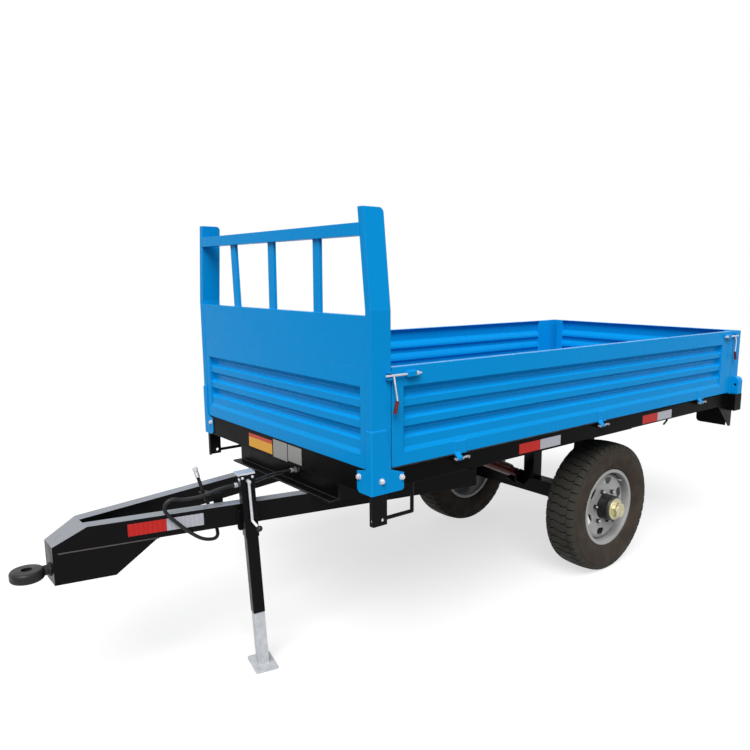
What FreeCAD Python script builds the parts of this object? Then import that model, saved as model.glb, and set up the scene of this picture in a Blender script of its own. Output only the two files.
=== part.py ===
import FreeCAD, Part
import math
import os

V = FreeCAD.Vector

# Two-wheeled farm trailer with a tipping bed. X points forward, Y to the left, Z up.
# Lengths are measured rearward or forward from the front of the bed; heights from the ground.

# Bed
bed_length = 3030.0
bed_width = 1512.0
edge_height = 940.0
board_height = 400.0
board_thickness = 32.0
sheet = 3.0
board_gap = 6.0
post_depth = 96.0
post_thickness = 34.0
rail_height = 75.0
rail_width = 50.0
rail_wall = 5.0
rail_drop = 10.0
rail_inset = 11.0
floor_sheet = 4.0
front_beam_height = 100.0
front_beam_depth = 50.0
rear_beam_height = 108.0
rear_beam_depth = 86.0
cross_member_height = 60.0
cross_member_width = 40.0

# Corrugation of the boards: depths behind the outer plane, and the plain strips at the ends
rib_depth = 8.0
groove_depth = 25.0
front_strip = 58.0
rear_strip = 134.0

# Headboard
panel_gap = 6.0
panel_top = 600.0
panel_depth = 28.0
panel_setback = 2.0
post_bend = 620.0
post_top = 1003.0
post_lean = 42.0
post_round = 20.0
top_rail_low = 897.0
top_rail_high = 945.0
top_rail_depth = 40.0
slat_width = 48.0
slat_depth = 15.0

# Hinges of the boards
hinge_inset = 375.0
tail_hinge_pitch = 480.0
hinge_out = 14.0
hinge_drop = 20.0
knuckle_radius = 10.0
hinge_pin_radius = 5.0
hinge_pin_half = 40.0
hinge_arm_start = 6.0
hinge_arm_width = 28.0
hinge_plate = 6.0
hinge_plate_gap = 2.0
pin_clearance = 0.05
leaf = 4.0

# Latches of the side boards
latch_drop = 30.0
latch_out = 14.0
latch_pin_radius = 5.0
latch_overlap = 40.0
housing_start = 64.0
housing_length = 46.0
housing_half = 12.0
housing_cover = 8.0
latch_tail = 8.0
handle_radius = 3.5
handle_elbow = 36.0
handle_drop = 100.0
grip_length = 50.0
grip_radius = 8.0

# Brackets of the bed
ear_width = 42.0
ear_depth = 56.0
ear_height = 100.0
ear_sheet = 6.0
ear_round = 30.0
ear_hole = 9.0
beam_lip = 2.0
corner_sheet = 5.0
corner_rise = 155.0
corner_reach = 158.0
corner_front = 92.0
hanging_drop = 130.0
hanging_depth = 64.0
hanging_hole = 8.0
rope_rod_radius = 8.0
rope_reach = 146.0
lamp_reach = 184.0
lamp_drop = 150.0
lamp_width = 206.0
lamp_hole = 5.0
lamp_pitch = 55.0

# Chassis
chassis_gap = 6.0
chassis_rail_height = 100.0
chassis_rail_width = 60.0
chassis_rail_y = 420.0
chassis_setback = 60.0
chassis_tail = 50.0
chassis_cross = 60.0
front_member_inset = 100.0
rear_member_inset = 120.0
cross_plate_reach = 450.0
cross_flange = 55.0
plate = 8.0

# Drawbar
drawbar_width = 60.0
drawbar_height = 91.0
drawbar_slope = 0.216
drawbar_overlap = 60.0
drawbar_shoulder = 871.0
nose_front = 995.0
nose_half = 57.0
nose_drop = 63.0
belly_height = 125.0
belly_flat = 781.0
belly_rear = 619.0
eye_reach = 81.0
eye_radius = 61.0
eye_hole = 20.0
eye_thickness = 42.0
eye_low = 166.0
shank_radius = 20.0

# Tipping pivot and ram
pivot_inset = 780.0
pivot_drop = 50.0
pivot_radius = 18.0
lug_sheet = 12.0
lug_radius = 42.0
lug_gap = 6.0
ram_offset = 90.0
ram_span = 755.0
ram_base_rise = 28.0
ram_eye_drop = 70.0
ram_radius = 37.0
ram_rod_radius = 20.0
ram_pin_radius = 12.5
ram_eye_radius = 26.0
ram_eye_width = 44.0
ram_barrel_length = 640.0
ram_neck = 50.0
cheek_sheet = 12.0
cheek_gap = 8.0

# Axle and wheels
axle_offset = 455.0
axle_side = 90.0
axle_rise = 17.5
axle_half = 452.0
stand_foot = 80.0
stand_head = 115.0
stand_lean = 52.0
post_side = 78.0
post_y = 75.0
stub_radius = 25.0
tyre_radius = 375.0
tyre_mid = 565.0
tyre_width = 200.0
tread_width = 172.0
rim_radius = 206.0
flange_radius = 222.0
flange_mid = 76.0
rim_sheet = 6.0
disc_face = 612.0
disc_sheet = 8.0
disc_flat = 172.0
hub_radius = 72.0
hub_bore_gap = 2.0
hub_flange = 118.0
hub_flange_sheet = 22.0
hub_back_radius = 60.0
hub_end = 684.0
cap_flange = 62.0
cap_flats = 78.0
cap_end = 722.0
stud_circle = 98.0
stud_count = 6
nut_radius = 12.0
nut_height = 15.0
hand_hole_count = 6
hand_hole_radius = 21.0
hand_hole_reach = 13.0
hand_hole_circle = 150.0
cutter_reach = 40.0
tyre_clearance = 0.3

# Jack
jack_x = 238.0
jack_lean = 2.8
jack_side = 58.0
jack_sleeve_length = 275.0
jack_tube_side = 51.0
jack_wall = 2.0
jack_offset = 39.0
jack_rise = 150.0
jack_tube_length = 630.0
jack_cap_length = 74.0
jack_cap_width = 62.0
jack_cap_sheet = 7.0
leg_gap = 0.5
leg_overlap = 300.0
foot_length = 100.0
foot_width = 150.0
foot_sheet = 8.0
crank_drop = 34.0
crank_arm = 170.0
crank_radius = 6.0
knob_radius = 13.0

# Hose
hose_radius = 7.5
hose_clearance = 0.1
fitting_rise = 73.0
fitting_y = 122.0

edge = edge_height
half = bed_width / 2
inner = half - board_thickness
rear_face = -bed_length + rail_inset
rear_beam_reach = half + ear_width + beam_lip
rail_y = half - rail_inset
floor_under = edge - rail_drop
member_under = floor_under - cross_member_height
rail_under = floor_under - rail_height
chassis_front = -chassis_setback
chassis_top = edge - front_beam_height - chassis_gap
chassis_low = chassis_top - chassis_rail_height
pivot_x = -bed_length + pivot_inset
pivot_height = chassis_top - pivot_drop
chassis_rear = pivot_x - chassis_tail
axle_x = pivot_x + axle_offset
ram_base_x = axle_x + ram_offset
axle_top = tyre_radius + axle_rise + axle_side / 2
ram_base_height = axle_top + ram_base_rise
ram_eye_x = ram_base_x + ram_span
ram_eye_height = member_under - ram_eye_drop
drawbar_top = chassis_low
drawbar_low = drawbar_top - drawbar_height
jack_top = drawbar_top + jack_rise
fitting_height = chassis_low + fitting_rise
eye_x = nose_front + eye_reach
eye_height = drawbar_top - eye_low
front_reach = eye_x + eye_radius
rear_reach = bed_length + hinge_out + knuckle_radius
front_x = (rear_reach - front_reach) / 2


def box(x0, x1, y0, y1, z0, z1):
    return Part.makeBox(x1 - x0, y1 - y0, z1 - z0, V(x0, y0, z0))


def prism(points, direction):
    closed = points + [points[0]]
    return Part.Face(Part.makePolygon(closed)).extrude(direction)


def side_prism(points, y0, y1):
    return prism([V(x, y0, z) for x, z in points], V(0, y1 - y0, 0))


def front_prism(points, x0, x1):
    return prism([V(x0, y, z) for y, z in points], V(x1 - x0, 0, 0))


def plan_prism(points, z0, z1):
    return prism([V(x, y, z0) for x, y in points], V(0, 0, z1 - z0))


def rod(start, end, radius):
    along = end - start
    return Part.makeCylinder(radius, along.Length, start, along)


def mirrored(shape):
    return shape.mirror(V(0, 0, 0), V(0, 1, 0))


def fused(shapes):
    whole = shapes[0].fuse(shapes[1:]).removeSplitter()
    return whole.Solids[0] if len(whole.Solids) == 1 else whole


def sheet_section(points, thickness):
    """Outline of a folded sheet: the given line and the same line moved by its thickness."""
    moved = []
    for i, (u, v) in enumerate(points):
        normals = []
        for a, b in ((i - 1, i), (i, i + 1)):
            if a < 0 or b >= len(points):
                continue
            du = points[b][0] - points[a][0]
            dv = points[b][1] - points[a][1]
            length = math.hypot(du, dv)
            normals.append((dv / length, -du / length))
        nu = sum(n[0] for n in normals) / len(normals)
        nv = sum(n[1] for n in normals) / len(normals)
        scale = thickness / (nu * nu + nv * nv)
        moved.append((u + nu * scale, v + nv * scale))
    return points + moved[::-1]


def board_profile(height):
    """Outer line of a corrugated board as depth behind the outer plane and height."""
    s = height / 400.0
    lip = board_thickness
    g = groove_depth
    r = rib_depth
    m = r + 0.6 * (g - r)
    line = [(lip, 0), (0, 0), (0, 53), (r, 72), (r, 109), (g, 117), (g, 129), (m, 146)]
    line += [(r, 157), (r, 187), (g, 195), (g, 208), (m, 227), (r, 239), (r, 268)]
    line += [(g, 276), (g, 287), (m, 303), (r, 313), (0, 321), (0, 400), (lip, 400)]
    return [(d, h * s) for d, h in line]


def corrugated_board(length, height, strip_a, strip_b):
    """Board standing on y = 0 .. -thickness, running along x from 0 to length, outer face at y = 0."""
    section = sheet_section(board_profile(height), sheet)
    skin = front_prism([(-d, h) for d, h in section], strip_a, length - strip_b)
    first = box(0, strip_a, -board_thickness, 0, 0, height)
    last = box(length - strip_b, length, -board_thickness, 0, 0, height)
    return fused([skin, first, last])


def moving_knuckle(x):
    """Leaf and knuckle that ride on a board, hinge axis along x at y = hinge_out, z = -hinge_drop."""
    start = x + hinge_arm_start
    end = start + hinge_arm_width
    strap = box(x - 35, x + 35, 0, leaf, -4, 52)
    arm = front_prism([(0, 6), (leaf, 6), (hinge_out + 8, -hinge_drop + 6),
                       (hinge_out + 4, -hinge_drop - 4), (0, -4)], start, end)
    barrel = rod(V(start, hinge_out, -hinge_drop), V(end, hinge_out, -hinge_drop), knuckle_radius)
    hole = rod(V(start - 5, hinge_out, -hinge_drop), V(end + 5, hinge_out, -hinge_drop),
               hinge_pin_radius + pin_clearance)
    return fused([strap, arm, barrel]).cut(hole)


def fixed_knuckle(x):
    """Pin in its three plates, which are welded to the beam face at y = -rail_inset."""
    start = x + hinge_arm_start - hinge_plate_gap
    end = x + hinge_arm_start + hinge_arm_width + hinge_plate_gap
    shapes = []
    for low in (x - hinge_pin_half + 2, start - hinge_plate, end):
        high = low + hinge_plate
        shapes.append(rod(V(low, hinge_out, -hinge_drop), V(high, hinge_out, -hinge_drop), knuckle_radius))
        shapes.append(box(low, high, -rail_inset, hinge_out, -hinge_drop - knuckle_radius, -hinge_drop))
    shapes.append(rod(V(x - hinge_pin_half, hinge_out, -hinge_drop), V(end + hinge_plate + 2, hinge_out, -hinge_drop),
                      hinge_pin_radius))
    return fused(shapes)


side_length = bed_length - 2 * post_depth - 2 * board_gap
side_start = -post_depth - board_gap
side_end = side_start - side_length
side_hinges = [side_start - hinge_inset, side_start - side_length / 2, side_end + hinge_inset]
tail_length = 2 * (half - post_thickness - board_gap)
tail_hinges = [-tail_hinge_pitch, 0.0, tail_hinge_pitch]
latch_z = board_height - latch_drop


def onto_left(shape):
    """From the board frame (x along, outer face at y = 0) to the left side of the bed."""
    placed = shape.copy()
    placed.translate(V(0, half, edge))
    return placed


def onto_tail(shape):
    """From the board frame to the tail, with the outer face looking rearward."""
    placed = shape.copy()
    placed.rotate(V(0, 0, 0), V(0, 0, 1), 90)
    placed.translate(V(-bed_length, 0, edge))
    return placed


def side_board():
    board = corrugated_board(side_length, board_height, rear_strip, front_strip)
    board.translate(V(side_end, 0, 0))
    knuckles = [moving_knuckle(x) for x in side_hinges]
    housings = []
    for at, sign in ((side_start, -1), (side_end, 1)):
        a = at + sign * housing_start
        b = at + sign * (housing_start + housing_length)
        face = latch_out + housing_cover
        block = box(min(a, b), max(a, b), 0, face, latch_z - housing_half, latch_z + housing_half)
        edges = [e for e in block.Edges if abs(e.CenterOfMass.y - face) < 0.1]
        bore = rod(V(min(a, b) - 1, latch_out, latch_z), V(max(a, b) + 1, latch_out, latch_z),
                   latch_pin_radius + pin_clearance)
        housings.append(block.makeFillet(3, edges).cut(bore))
    return onto_left(fused([board] + housings + knuckles))


def tailboard():
    board = corrugated_board(tail_length, board_height, front_strip, front_strip)
    board.translate(V(-tail_length / 2, 0, 0))
    return onto_tail(fused([board] + [moving_knuckle(x) for x in tail_hinges]))


def latch(sign, at):
    """Pin with its bent handle, guided by the housing of the board; it lies in the open cradle of the post."""
    z = latch_z
    y = latch_out
    tail = at - sign * (housing_start + housing_length + latch_tail)
    pin = rod(V(tail, y, z), V(at + sign * latch_overlap, y, z), latch_pin_radius)
    elbow = V(at + sign * 2, y + 8, z - handle_elbow)
    foot = V(at - sign * 8, y + 10, z - handle_drop)
    neck = rod(V(at + sign * 2, y, z), elbow, handle_radius)
    arm = rod(elbow, foot, handle_radius)
    grip = rod(foot, V(at + sign * 6, y + 10, z - handle_drop - grip_length), grip_radius)
    handle = fused([pin, neck, arm])
    return onto_left(handle), onto_left(grip.cut(handle))


def cradle(sign, at):
    """Open cradle on the post for the latch pin."""
    a = at + sign * 12
    b = at + sign * 34
    low = min(a, b)
    high = max(a, b)
    base = box(low, high, 0, 4, latch_z - 16, latch_z + 16)
    lower = box(low, high, 4, latch_out + 6, latch_z - 16, latch_z - 10)
    upper = box(low, high, 4, latch_out + 6, latch_z + 10, latch_z + 16)
    return onto_left(fused([base, lower, upper]))


def headboard_post():
    """Left post of the headboard: upright to the bend, leaning inward above it."""
    y1 = half
    y0 = half - post_thickness
    outline = [(y0, edge), (y1, edge), (y1, edge + post_bend), (y1 - post_lean, edge + post_top),
               (y0 - post_lean, edge + post_top), (y0, edge + post_bend)]
    post = front_prism(outline, -post_depth, 0)
    edges = [e for e in post.Edges
             if abs(e.CenterOfMass.z - edge - post_top) < 1 and abs(e.CenterOfMass.x + post_depth) < 1]
    return post.makeFillet(min(post_round, 0.8 * post_depth), edges)


def rear_post():
    """Left rear post: a channel open to the inside, standing on the rear beam."""
    y1 = half
    y0 = half - post_thickness
    wall = 2 * sheet
    block = box(-bed_length, -bed_length + post_depth, y0, y1, floor_under, edge + board_height)
    recess = box(-bed_length + 10, -bed_length + post_depth - 10, y0, y1 - wall,
                 edge + 40, edge + board_height)
    return block.cut(recess)


def rear_ear():
    """Folded bracket with a rounded top and a pin hole, standing on the rear beam outside the post."""
    y0 = half
    y1 = y0 + ear_width
    z1 = edge + ear_height
    x0 = rear_face
    x1 = x0 + ear_depth
    wall = ear_sheet
    solid = box(x0, x1, y0, y1, floor_under, z1)
    edges = [e for e in solid.Edges
             if abs(e.CenterOfMass.z - z1) < 1 and abs(e.CenterOfMass.y - y1) < 1]
    solid = solid.makeFillet(ear_round, edges)
    hollow = box(x0 + wall, x1 - wall, y0, y1 - wall, floor_under, z1 - wall)
    edges = [e for e in hollow.Edges
             if abs(e.CenterOfMass.z - z1 + wall) < 1 and abs(e.CenterOfMass.y - y1 + wall) < 1]
    hollow = hollow.makeFillet(ear_round - wall, edges)
    z = edge + ear_height / 2
    hole = rod(V(x0 - 1, y0 + ear_width / 2, z), V(x1 + 1, y0 + ear_width / 2, z), ear_hole)
    return solid.cut(hollow).cut(hole)


def corner_bracket():
    """Folded corner plate on the foot of the headboard post, flared over the beam ends."""
    t = corner_sheet
    low = edge - front_beam_height
    side = side_prism([(t, edge + corner_rise), (-0.75 * post_depth, edge + corner_rise),
                       (-post_depth + 4, edge + 20), (-post_depth + 4, edge - 6),
                       (-corner_reach, edge - 28), (-corner_reach, low + 8), (-corner_reach + 8, low),
                       (t, low)], half, half + t)
    front = front_prism([(half + t, edge + corner_rise), (half - post_thickness, edge + corner_rise),
                         (half - post_thickness, edge), (half - corner_front, edge - 12),
                         (half - corner_front, low + 12), (half - corner_front + 14, low), (half + t, low)], 0, t)
    whole = fused([side, front])
    fold = [e for e in whole.Edges
            if abs(e.CenterOfMass.x - t) < 0.1 and abs(e.CenterOfMass.y - half - t) < 0.1]
    return whole.makeFillet(0.8 * t, fold)


def hanging_plate():
    """Angle plate below the front corner with the rope rod bent behind it."""
    top = edge - front_beam_height
    low = top - hanging_drop
    outer = half - beam_lip
    y = outer - 4 - rope_rod_radius
    z = low + 22
    rear = -12 - hanging_depth
    side = box(rear, -12, outer - 6, outer, low, top)
    front = box(-12, -6, outer - 24, outer, low, top)
    fold = 5.0
    hole_x = -12 - 0.68 * hanging_depth
    holes = rod(V(hole_x, y - 20, z), V(hole_x, outer + 5, z), hanging_hole)
    holes = holes.fuse(rod(V(-20, outer - 14, z), V(5, outer - 14, z), hanging_hole - 2))
    plate_shape = fused([side, front])
    fold_edges = [e for e in plate_shape.Edges
                  if abs(e.CenterOfMass.x + 6) < 0.1 and abs(e.CenterOfMass.y - outer) < 0.1]
    plate_shape = plate_shape.makeFillet(fold, fold_edges).cut(holes)
    end = rear - rope_reach + 6
    low_rod = rod(V(rear + 6, y, z), V(end, y, z), rope_rod_radius)
    corner = Part.makeSphere(rope_rod_radius, V(end, y, z))
    up = rod(V(end, y, z), V(end, y, rail_under), rope_rod_radius)
    return fused([plate_shape, low_rod, corner, up])


def channel_rail(side):
    """Side rail folded as a channel that opens inward."""
    outer_face = side * rail_y
    tip = side * (rail_y - rail_width)
    line = [(tip, rail_under), (outer_face, rail_under), (outer_face, floor_under), (tip, floor_under)]
    if side > 0:
        line = line[::-1]
    section = sheet_section(line, rail_wall)
    return front_prism(section, rear_face + rear_beam_depth, -front_beam_depth)


cross_positions = [(ram_eye_x - front_beam_depth) / 2, ram_eye_x, (ram_eye_x + axle_x) / 2, axle_x,
                   pivot_x, (pivot_x - bed_length) / 2]


def bed_frame():
    """Side rails, front and rear beams and cross members under the floor."""
    reach = rail_y - rail_wall
    shapes = [channel_rail(-1), channel_rail(1)]
    shapes.append(box(-front_beam_depth, 0, -half, half, edge - front_beam_height, edge))
    shapes.append(box(rear_face, rear_face + rear_beam_depth, -rear_beam_reach, rear_beam_reach,
                      floor_under - rear_beam_height, floor_under))
    for x in cross_positions:
        shapes.append(box(x - cross_member_width / 2, x + cross_member_width / 2, -reach, reach,
                          member_under, floor_under))
    return fused(shapes)


def bed_floor():
    y = half - post_thickness
    rear = -bed_length + board_thickness
    return box(rear, -front_beam_depth, -y, y, floor_under, floor_under + floor_sheet)


def headboard_panel():
    """Plain upper panel between the posts, a folded tray open to the rear."""
    y = half - post_thickness
    z0 = edge + board_height + panel_gap
    z1 = edge + panel_top
    x0 = -panel_setback - panel_depth
    x1 = -panel_setback
    tray = box(x0, x1, -y, y, z0, z1)
    hollow = box(x0, x1 - sheet, -y + sheet, y - sheet, z0 + sheet, z1 - sheet)
    return tray.cut(hollow)


def headboard_lower():
    """Corrugated lower panel between the posts."""
    y = half - post_thickness
    board = corrugated_board(2 * y, board_height + panel_gap, 40, 40)
    board.translate(V(-y, 0, 0))
    board.rotate(V(0, 0, 0), V(0, 0, 1), -90)
    board.translate(V(-panel_setback, 0, edge))
    return board


def top_rail():
    """Square tube between the leaning posts."""
    lean = post_lean / (post_top - post_bend)
    y = half - post_thickness
    low = y - lean * (top_rail_low - post_bend)
    high = y - lean * (top_rail_high - post_bend)
    outline = [(-low, edge + top_rail_low), (low, edge + top_rail_low),
               (high, edge + top_rail_high), (-high, edge + top_rail_high)]
    front = -panel_setback - (panel_depth - slat_depth) / 2
    back = front + slat_depth / 2 - top_rail_depth / 2 - slat_depth
    return front_prism(outline, back, back + top_rail_depth)


def slats():
    """Three flat bars between the panel and the top rail; the outer two lean outward at the top."""
    w = slat_width / 2
    front = -panel_setback - (panel_depth - slat_depth) / 2
    bars = []
    for foot, head in ((-347.0, -365.0), (2.0, 5.0), (375.0, 379.0)):
        bars.append(front_prism([(foot - w, edge + panel_top), (foot + w, edge + panel_top),
                                 (head + w, edge + top_rail_low), (head - w, edge + top_rail_low)],
                                front - slat_depth, front))
    return bars


def lamp_bracket():
    """Outer plate with three holes and the cross plate with its rounded corner."""
    y = rail_y
    beam_front = rear_face + rear_beam_depth
    beam_under = floor_under - rear_beam_height
    low = rail_under - lamp_drop
    outline = [(beam_front + lamp_reach - 80, rail_under), (rear_face + 36, low),
               (rear_face + 8, low), (rear_face + 5, beam_under), (beam_front, beam_under),
               (beam_front, rail_under)]
    outer = side_prism(outline, y - 4, y)
    for i in range(3):
        x = beam_front + 34 - 0.64 * lamp_pitch * i
        z = beam_under + 4 - 0.73 * lamp_pitch * i
        outer = outer.cut(rod(V(x, y - 10, z), V(x, y + 10, z), lamp_hole))
    back_x = rear_face + 69
    back_low = low + 10
    back = box(back_x, back_x + 4, y - lamp_width, y - 4, back_low, beam_under)
    edges = [e for e in back.Edges
             if abs(e.CenterOfMass.y - y + lamp_width) < 1 and abs(e.CenterOfMass.z - back_low) < 1]
    back = back.makeFillet(28, edges)
    return fused([outer, back])


def pivot_lugs():
    """Plates hanging from the bed on both sides of each chassis rail, with the pivot pin."""
    offset = chassis_rail_width / 2 + lug_gap
    outline = [(pivot_x - 60, member_under), (pivot_x + 60, member_under),
               (pivot_x + lug_radius, pivot_height), (pivot_x - lug_radius, pivot_height)]
    sets = []
    for side in (-1, 1):
        y = side * chassis_rail_y
        shapes = []
        for low in (y - offset - lug_sheet, y + offset):
            shapes.append(side_prism(outline, low, low + lug_sheet))
            shapes.append(rod(V(pivot_x, low, pivot_height), V(pivot_x, low + lug_sheet, pivot_height), lug_radius))
        reach = offset + lug_sheet + 8
        shapes.append(rod(V(pivot_x, y - reach, pivot_height), V(pivot_x, y + reach, pivot_height), pivot_radius))
        sets.append(fused(shapes))
    return sets


def ram_top_lugs():
    """Pair of lugs under the cross member for the rod eye, with the bosses of its pin on their outer faces."""
    inside = ram_eye_width / 2 + 4
    outside = inside + 10
    shapes = []
    for y0, y1 in ((-outside, -inside), (inside, outside)):
        outline = [(ram_eye_x - 45, member_under), (ram_eye_x + 45, member_under),
                   (ram_eye_x + 28, ram_eye_height), (ram_eye_x - 28, ram_eye_height)]
        round_end = Part.makeCylinder(28, y1 - y0, V(ram_eye_x, y0, ram_eye_height), V(0, 1, 0))
        boss = Part.makeCylinder(ram_pin_radius, y1 - y0 + 12, V(ram_eye_x, y0 - 12 * (y0 < 0), ram_eye_height),
                                 V(0, 1, 0))
        shapes.append(fused([side_prism(outline, y0, y1), round_end, boss]))
    return shapes


def chassis_frame():
    """Two longitudinal tubes with the pivot bores at their rear ends, joined by cross members."""
    shapes = []
    for side in (-1, 1):
        y = side * chassis_rail_y
        rail = box(chassis_rear, chassis_front, y - chassis_rail_width / 2, y + chassis_rail_width / 2,
                   chassis_low, chassis_top)
        bore = rod(V(pivot_x, y - 60, pivot_height), V(pivot_x, y + 60, pivot_height),
                   pivot_radius + pin_clearance)
        shapes.append(rail.cut(bore))
    y = chassis_rail_y - chassis_rail_width / 2
    s = chassis_cross / 2
    for x in (drawbar_rear + front_member_inset, axle_x, pivot_x + rear_member_inset):
        shapes.append(box(x - s, x + s, -y, y, chassis_low, chassis_low + chassis_cross))
    return fused(shapes)


def front_cross():
    """Front cross plate with its angle flange lying on the drawbar beams."""
    line = [(chassis_front + cross_flange, chassis_low), (chassis_front, chassis_low),
            (chassis_front, chassis_top)]
    section = sheet_section(line[::-1], -plate)
    return side_prism(section, -cross_plate_reach, cross_plate_reach)


def outer_y(x):
    return nose_half + drawbar_slope * (nose_front - x)


drawbar_rear = nose_front - (chassis_rail_y + chassis_rail_width / 2 - nose_half) / drawbar_slope - drawbar_overlap


def drawbar():
    """Two converging tubes, the sloping nose and the belly box, one welded piece."""
    wide = drawbar_width * math.hypot(1, drawbar_slope)
    beams = []
    for side in (-1, 1):
        plan = [(nose_front, side * outer_y(nose_front)), (drawbar_rear, side * outer_y(drawbar_rear)),
                (drawbar_rear, side * (outer_y(drawbar_rear) - wide)),
                (nose_front, side * (outer_y(nose_front) - wide))]
        beams.append(plan_prism(plan, drawbar_low, drawbar_top))
    nose_plan = [(nose_front, -outer_y(nose_front)), (nose_front, outer_y(nose_front)),
                 (belly_rear, outer_y(belly_rear)), (belly_rear, -outer_y(belly_rear))]
    floor_z = drawbar_low - belly_height
    nose_side = [(drawbar_shoulder, drawbar_top), (nose_front, drawbar_top - nose_drop),
                 (nose_front, floor_z), (belly_flat, floor_z), (belly_rear, drawbar_low),
                 (drawbar_shoulder, drawbar_low)]
    nose = plan_prism(nose_plan, floor_z, drawbar_top).common(side_prism(nose_side, -300, 300))
    chamfer = side_prism([(drawbar_shoulder, drawbar_top), (nose_front + 1, drawbar_top - nose_drop),
                          (nose_front + 1, drawbar_top + 1), (drawbar_shoulder, drawbar_top + 1)], -300, 300)
    return fused([beams[0].cut(chamfer), beams[1].cut(chamfer), nose])


def tow_eye():
    """Forged ring with its shank and the round flange on the nose."""
    ring = Part.makeCylinder(eye_radius, eye_thickness, V(eye_x, 0, eye_height - eye_thickness / 2))
    ring = ring.makeFillet(12, [ring.Edges[0], ring.Edges[2]])
    shank = rod(V(nose_front, 0, eye_height), V(eye_x - eye_radius + 20, 0, eye_height), shank_radius)
    hole = Part.makeCylinder(eye_hole, 2 * eye_thickness, V(eye_x, 0, eye_height - eye_thickness))
    return fused([ring, shank]).cut(hole)


def axle():
    """Square axle beam with round stub ends."""
    h = axle_side / 2
    beam = box(axle_x - h, axle_x + h, -axle_half, axle_half, axle_top - axle_side, axle_top)
    ends = []
    for side in (-1, 1):
        ends.append(rod(V(axle_x, side * (axle_half - 10), tyre_radius),
                        V(axle_x, side * (hub_end - 4), tyre_radius), stub_radius))
    return fused([beam] + ends)


def axle_brackets():
    """Box stands under the chassis rails, the post beside the ram, and the cheeks for its base pin."""
    low = axle_top
    x = axle_x - stand_lean
    s = chassis_rail_width / 2
    stands = []
    for side in (-1, 1):
        y = side * chassis_rail_y
        stands.append(side_prism([(axle_x - stand_foot / 2, low), (axle_x + stand_foot / 2, low),
                                  (x + stand_head / 2, chassis_low), (x - stand_head / 2, chassis_low)], y - s, y + s))
    inside = ram_eye_width / 2 + cheek_gap
    outside = inside + cheek_sheet
    beam_front = axle_x + axle_side / 2
    nose = ram_base_x + ram_eye_radius
    shoulder = ram_base_height + 20
    outline = [(axle_x, low), (beam_front, low), (beam_front, low - 60), (nose, low - 20), (nose, ram_base_height),
               (nose - 14, shoulder), (ram_base_x - 20, shoulder), (axle_x, low + 14)]
    h = post_side / 2
    shapes = [side_prism(outline, -outside, -inside), side_prism(outline, inside, outside),
              box(axle_x - h, axle_x + h, post_y - h, post_y + h, low, chassis_low)]
    reach = outside + 6
    shapes.append(rod(V(ram_base_x, -reach, ram_base_height), V(ram_base_x, reach, ram_base_height),
                      ram_pin_radius))
    return Part.makeCompound(stands + [fused(shapes)])


ram_angle = math.atan2(ram_eye_height - ram_base_height, ram_eye_x - ram_base_x)
ram_length = math.hypot(ram_eye_height - ram_base_height, ram_eye_x - ram_base_x)


def along_ram(distance):
    return V(ram_base_x + distance * math.cos(ram_angle), 0, ram_base_height + distance * math.sin(ram_angle))


def ram_eye(x, z, radius):
    half_width = ram_eye_width / 2
    return Part.makeCylinder(radius, 2 * half_width, V(x, -half_width, z), V(0, 1, 0))


def pin_hole(x, z):
    return rod(V(x, -60, z), V(x, 60, z), ram_pin_radius + pin_clearance)


def ram_barrel():
    """Barrel with its base eye, neck and gland nut, bored for the rod."""
    neck = rod(along_ram(0), along_ram(ram_neck + 4), 0.5 * ram_radius)
    barrel = rod(along_ram(ram_neck), along_ram(ram_barrel_length), ram_radius)
    gland = rod(along_ram(ram_barrel_length), along_ram(ram_barrel_length + 22), ram_radius - 5)
    bore = rod(along_ram(ram_neck + 10), along_ram(ram_barrel_length + 30), ram_rod_radius + pin_clearance)
    eye = ram_eye(ram_base_x, ram_base_height, ram_eye_radius)
    return fused([eye, neck, barrel, gland]).cut(bore).cut(pin_hole(ram_base_x, ram_base_height))


def ram_rod():
    """Rod with its eye and the pin, whose ends stop short of the lugs."""
    stem = rod(along_ram(ram_neck + 16), along_ram(ram_length - 0.5 * ram_eye_radius), ram_rod_radius)
    eye = ram_eye(ram_eye_x, ram_eye_height, ram_eye_radius)
    reach = ram_eye_width / 2 + 3
    pin = rod(V(ram_eye_x, -reach, ram_eye_height), V(ram_eye_x, reach, ram_eye_height), ram_pin_radius)
    return fused([stem, eye, pin])


def turned(points, y_mid):
    """Solid of revolution about the wheel axis from (radius, y) points."""
    profile = [V(0, y_mid + y, r) for r, y in points]
    face = Part.Face(Part.makePolygon(profile + [profile[0]]))
    solid = face.revolve(V(0, 0, 0), V(0, 1, 0), 360)
    solid.translate(V(axle_x, 0, tyre_radius))
    return solid


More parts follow.
